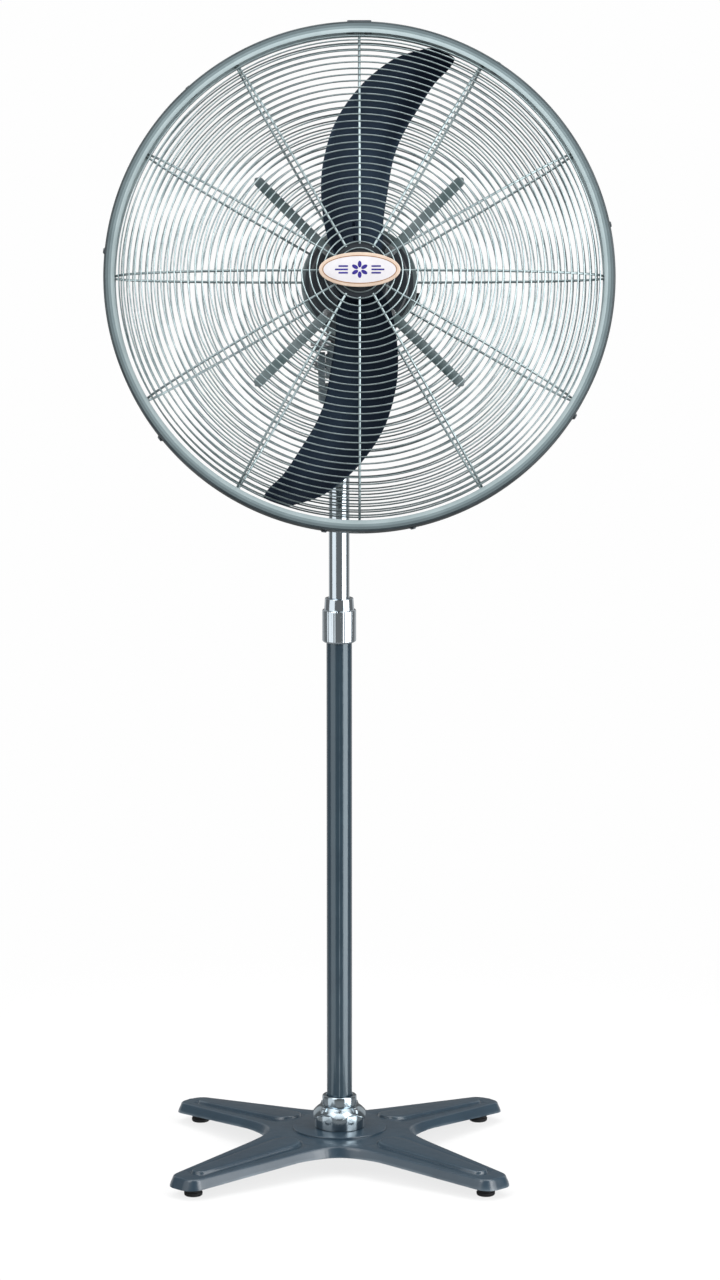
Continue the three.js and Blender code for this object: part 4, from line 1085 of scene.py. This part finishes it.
CLIP_ANGLES = [12, 57, 132, 174, 219, 262, 282, 327]
JOINT_ANGLE = 90
RIM_RADIUS = 399.9  # a hair inside the CAD's 400 mm, whose facets the rounder hoop must not pass
RIM_INSIDE = 382
RIM_FRONT = 20
RIM_REAR = -34
RIM_SHEET = 2
RIM_MIDDLE = -7  # the bolts' distance from the rim plane
CLAMP_INNER = 387
RIM_FACETS = 256


def rim_bolt(side=0.0):
    """A bolt through the hoop at +X and the clamp plate that holds the guards' edge wires."""
    screw = shifted(along_x(hex_bolt(4.6, 3, 5.4, 2.5, 12)), RIM_RADIUS + 0.3, side, RIM_MIDDLE)
    plate = prism(rectangle(side - 6, side + 6, -31, 17, 2), CLAMP_INNER, CLAMP_INNER + 2, 0.4)
    return merge(screw, moved(plate, STANDING))


def add_rim():
    wall = RIM_RADIUS - RIM_SHEET
    front, rear = RIM_FRONT - RIM_SHEET, RIM_REAR + RIM_SHEET
    face = RIM_FRONT - 0.2
    section = [
        (RIM_INSIDE, RIM_REAR), (RIM_RADIUS, RIM_REAR), (RIM_RADIUS, face), (RIM_INSIDE, face),
        (RIM_INSIDE, front), (wall, front), (wall, rear), (RIM_INSIDE, rear),
    ]
    detail("rim_band", lathe(section, 4, RIM_FACETS), RIM, "rim_paint", sharp=50)
    # Thin linings on the rim carry painted shade and light. The front face's three bands run from painted shade at
    # the outer edge to painted light inwards. The liner over the inner wall and the sole over the rear lip's front
    # face carry painted light where the channel lies in shade.
    linings = (
        ("lip_outer", 392, 396.4, RIM_FRONT - 0.5, RIM_FRONT, "lip_outer"),
        ("lip_middle", 388, 392.2, RIM_FRONT - 0.5, RIM_FRONT, "lip_middle"),
        ("lip_inner", RIM_INSIDE, 388.2, RIM_FRONT - 0.5, RIM_FRONT, "lip_inner"),
        ("liner", wall - 0.6, wall + 0.1, rear, front, "lip_inner"),
        ("sole", RIM_INSIDE, wall - 0.6, rear, rear + 0.5, "lip_inner"),
    )
    for name, inner, outer, low, high, look in linings:
        extra(f"rim_{name}", tube(inner, outer, low, high, 0.2, RIM_FACETS), "rim_paint", look)
    for k, degrees in enumerate(CLIP_ANGLES):
        turn = Matrix.Rotation(math.radians(degrees), 4, "Z")
        detail(f"rim_clip_{k + 1}", rim_bolt(), RIM @ turn, "neck_paint", look="clip_paint")
    outline = rectangle(-19, 19, RIM_MIDDLE - 15, RIM_MIDDLE + 15, 3)
    plate = moved(prism(outline, RIM_RADIUS + 0.4, RIM_RADIUS + 3, 0.6), STANDING)
    turn = Matrix.Rotation(math.radians(JOINT_ANGLE), 4, "Z")
    joint = merge(plate, rim_bolt(-14), rim_bolt(14))
    detail("rim_joint_plate", joint, RIM @ turn, "neck_paint", look="clip_paint")


BADGE_ACROSS, BADGE_UP = 63, 27  # half the plate's width and height
BADGE_FACE = 108.4  # the plate's face, from the rim plane
MARK_LOW, MARK_HIGH = 108.3, 108.95


def oval(share):
    across = BADGE_ACROSS * share
    return ellipse(across, BADGE_UP - 0.92 * (BADGE_ACROSS - across), 96)


def add_badge():
    """An oval plate with a border, a fine line inside it, and a plain rosette between bars."""
    plate = prism(oval(1.0), 105, BADGE_FACE, 1.2)
    stud = rod(3, 96, 105.5, 0.4)
    detail("badge_plate", merge(plate, stud), RIM, "badge_enamel")
    extra("badge_field", prism(oval(0.895), 107.6, 108.6, 0.25), "badge_enamel", "badge_white")
    rings = []
    for share, height in ((0.915, 107.8), (0.915, 108.75), (0.893, 108.75), (0.893, 107.8)):
        rings.append([(*point, height) for point in oval(share)])
    extra("badge_line", skin(rings, closed_along=True), "badge_enamel", "badge_line")
    petal = prism([(8.2 + x, y) for x, y in ellipse(5.2, 2.9, 32)], MARK_LOW, MARK_HIGH, 0.2)
    bars = []
    for side in (-1, 1):
        for height, reach in ((-5.2, 11), (0, 15), (5.2, 11)):
            x0, x1 = sorted((side * 18, side * (18 + reach * 1.35)))
            outline = rectangle(x0, x1, height - 1.3, height + 1.3, 1.2)
            bars.append(prism(outline, MARK_LOW, MARK_HIGH, 0.2))
    extra("badge_mark", merge(around(petal, 6, 30), *bars), "badge_enamel", "badge_mark")


# ---- assembly

CARRIED = {
    "pole_bush": "nylon",
    "tube_plug": "nylon",
    "stator": "laminations",
    "rotor_core": "steel",
    "bearing_front": "steel",
    "bearing_rear": "steel",
    "motor_shaft": "steel",
    "worm_wheel": "brass",
    "crank": "steel",
    "crank_link": "steel",
}


def carry_over():
    """The CAD nodes that stay as they are get the finish of their slot."""
    for node, slot in CARRIED.items():
        item = frame["nodes"][node]
        for material_slot in item.material_slots:
            material_slot.link = "OBJECT"
            material_slot.material = LOOKS[slot]
        edges = item.modifiers.new("edges", "BEVEL")
        edges.width = 0.4 * MM
        edges.segments = 2
        edges.limit_method = "ANGLE"


add_base()
add_flange()
add_pole()
add_neck()
add_motor()
add_controls()
add_impeller()
add_guards()
add_straps()
add_rim()
add_badge()
carry_over()

# ---- studio

FLOOR_RADIUS = 1.7
PAPER_THIN = 0.8  # how much of the room shows through the paper even under the fan
GAP_LIGHT = 0.2  # what the dark gaps between the soft boxes still give
LEFT_BOX = 1.15
RIGHT_BOX = 1.9
RIGHT_SHINE = 1.8  # what the right box adds in reflections only
BACK_BOX = 0.5
TOP_BOX = 2.2
SIDE_SPAN = (0.62, 1.45)  # from one edge of a box to the other, in radians away from the camera
BACK_SPAN = (2.3, 2.75)
LIGHTS_AIM = 0.9  # the height that the lights point at, in metres


def add_floor():
    """A sheet of pale paper under the fan, which fades into the pale room."""
    mesh = bpy.data.meshes.new("floor")
    count = 64
    points = [(*point, 0) for point in circle(FLOOR_RADIUS, count)]
    mesh.from_pydata(points, [], [list(range(count))])
    paper = surface("paper", (250, 250, 250), (252, 252, 252), (0.9, 1.0), patch=3.0, grain=200,
                    bump=0.02, Specular_IOR_Level=0.1)
    nodes = Nodes(paper.node_tree)
    where = nodes.add("ShaderNodeTexCoord").outputs["Object"]
    length = nodes.add("ShaderNodeVectorMath", {"operation": "LENGTH"}, Vector=where)
    distance = length.outputs["Value"]
    fade = nodes.spread(distance, 0.3, FLOOR_RADIUS * 0.97, PAPER_THIN, 1.0, smooth=True)
    clear = nodes.add("ShaderNodeBsdfTransparent")
    sheet = nodes.add("ShaderNodeMixShader")
    nodes.feed(sheet.inputs[0], fade)
    nodes.feed(sheet.inputs[1], paper.node_tree.nodes["Principled BSDF"].outputs[0])
    nodes.feed(sheet.inputs[2], clear.outputs[0])
    output = paper.node_tree.nodes["Material Output"]
    nodes.feed(output.inputs["Surface"], sheet.outputs[0])
    mesh.materials.append(paper)
    floor = bpy.data.objects.new("floor", mesh)
    bpy.context.scene.collection.objects.link(floor)


def add_world():
    """A pale room. What the fan reflects is two tall soft boxes beside the camera, the right one
    much the stronger, one overhead and two behind, with darker gaps between them."""
    world = bpy.data.worlds.new("studio")
    world.use_nodes = True
    bpy.context.scene.world = world
    nodes = Nodes(world.node_tree)
    background = world.node_tree.nodes["Background"]
    direction = nodes.add("ShaderNodeTexCoord").outputs["Generated"]
    parts = nodes.add("ShaderNodeSeparateXYZ", Vector=direction).outputs
    turn = nodes.math("ARCTAN2", parts["X"], nodes.math("MULTIPLY", parts["Y"], -1.0))
    side = nodes.math("ABSOLUTE", turn)

    def band(value, start, end, edge):
        up = nodes.spread(value, start - edge, start + edge, smooth=True)
        down = nodes.spread(value, end - edge, end + edge, 1.0, 0.0, smooth=True)
        return nodes.math("MULTIPLY", up, down)

    rise = nodes.spread(parts["Z"], -0.7, -0.5, smooth=True)
    boxes = nodes.math("MULTIPLY", band(side, *SIDE_SPAN, 0.05), rise)
    on_right = nodes.math("GREATER_THAN", turn, 0.0)
    on_left = nodes.math("SUBTRACT", 1.0, on_right)
    path = nodes.add("ShaderNodeLightPath").outputs
    shine = nodes.math("MULTIPLY", path["Is Glossy Ray"], RIGHT_SHINE)
    right_power = nodes.math("ADD", RIGHT_BOX, shine)
    sides = nodes.math("ADD", nodes.math("MULTIPLY", on_right, right_power),
                       nodes.math("MULTIPLY", on_left, LEFT_BOX))
    behind = nodes.math("MULTIPLY", band(side, *BACK_SPAN, 0.08), rise)
    top = nodes.spread(parts["Z"], 0.82, 0.95, smooth=True)
    total = GAP_LIGHT
    for part, power in ((boxes, sides), (behind, BACK_BOX), (top, TOP_BOX)):
        total = nodes.math("ADD", nodes.math("MULTIPLY", part, power), total)
    seen = path["Is Camera Ray"]
    hidden = nodes.math("SUBTRACT", 1.0, seen)
    strength = nodes.math("ADD", nodes.math("MULTIPLY", total, hidden), seen)
    background.inputs["Color"].default_value = linear(254, 254, 254)
    nodes.feed(background.inputs["Strength"], strength)


def add_light(name, position, size, power):
    data = bpy.data.lights.new(name, "AREA")
    data.shape = "RECTANGLE"
    data.size, data.size_y = size
    data.energy = power
    light = bpy.data.objects.new(name, data)
    light.location = POLE_FOOT + Vector(position)
    target = POLE_FOOT + Vector((0, 0, LIGHTS_AIM))
    light.rotation_euler = (target - light.location).to_track_quat("-Z", "Y").to_euler()
    light.visible_camera = False
    bpy.context.scene.collection.objects.link(light)


add_floor()
add_world()
add_light("key", position=(-3.2, -4.2, 4.6), size=(3.2, 3.2), power=120)
add_light("fill", position=(3.8, -3.4, 2.6), size=(1.8, 2.6), power=60)
bpy.context.scene.view_settings.view_transform = "Standard"
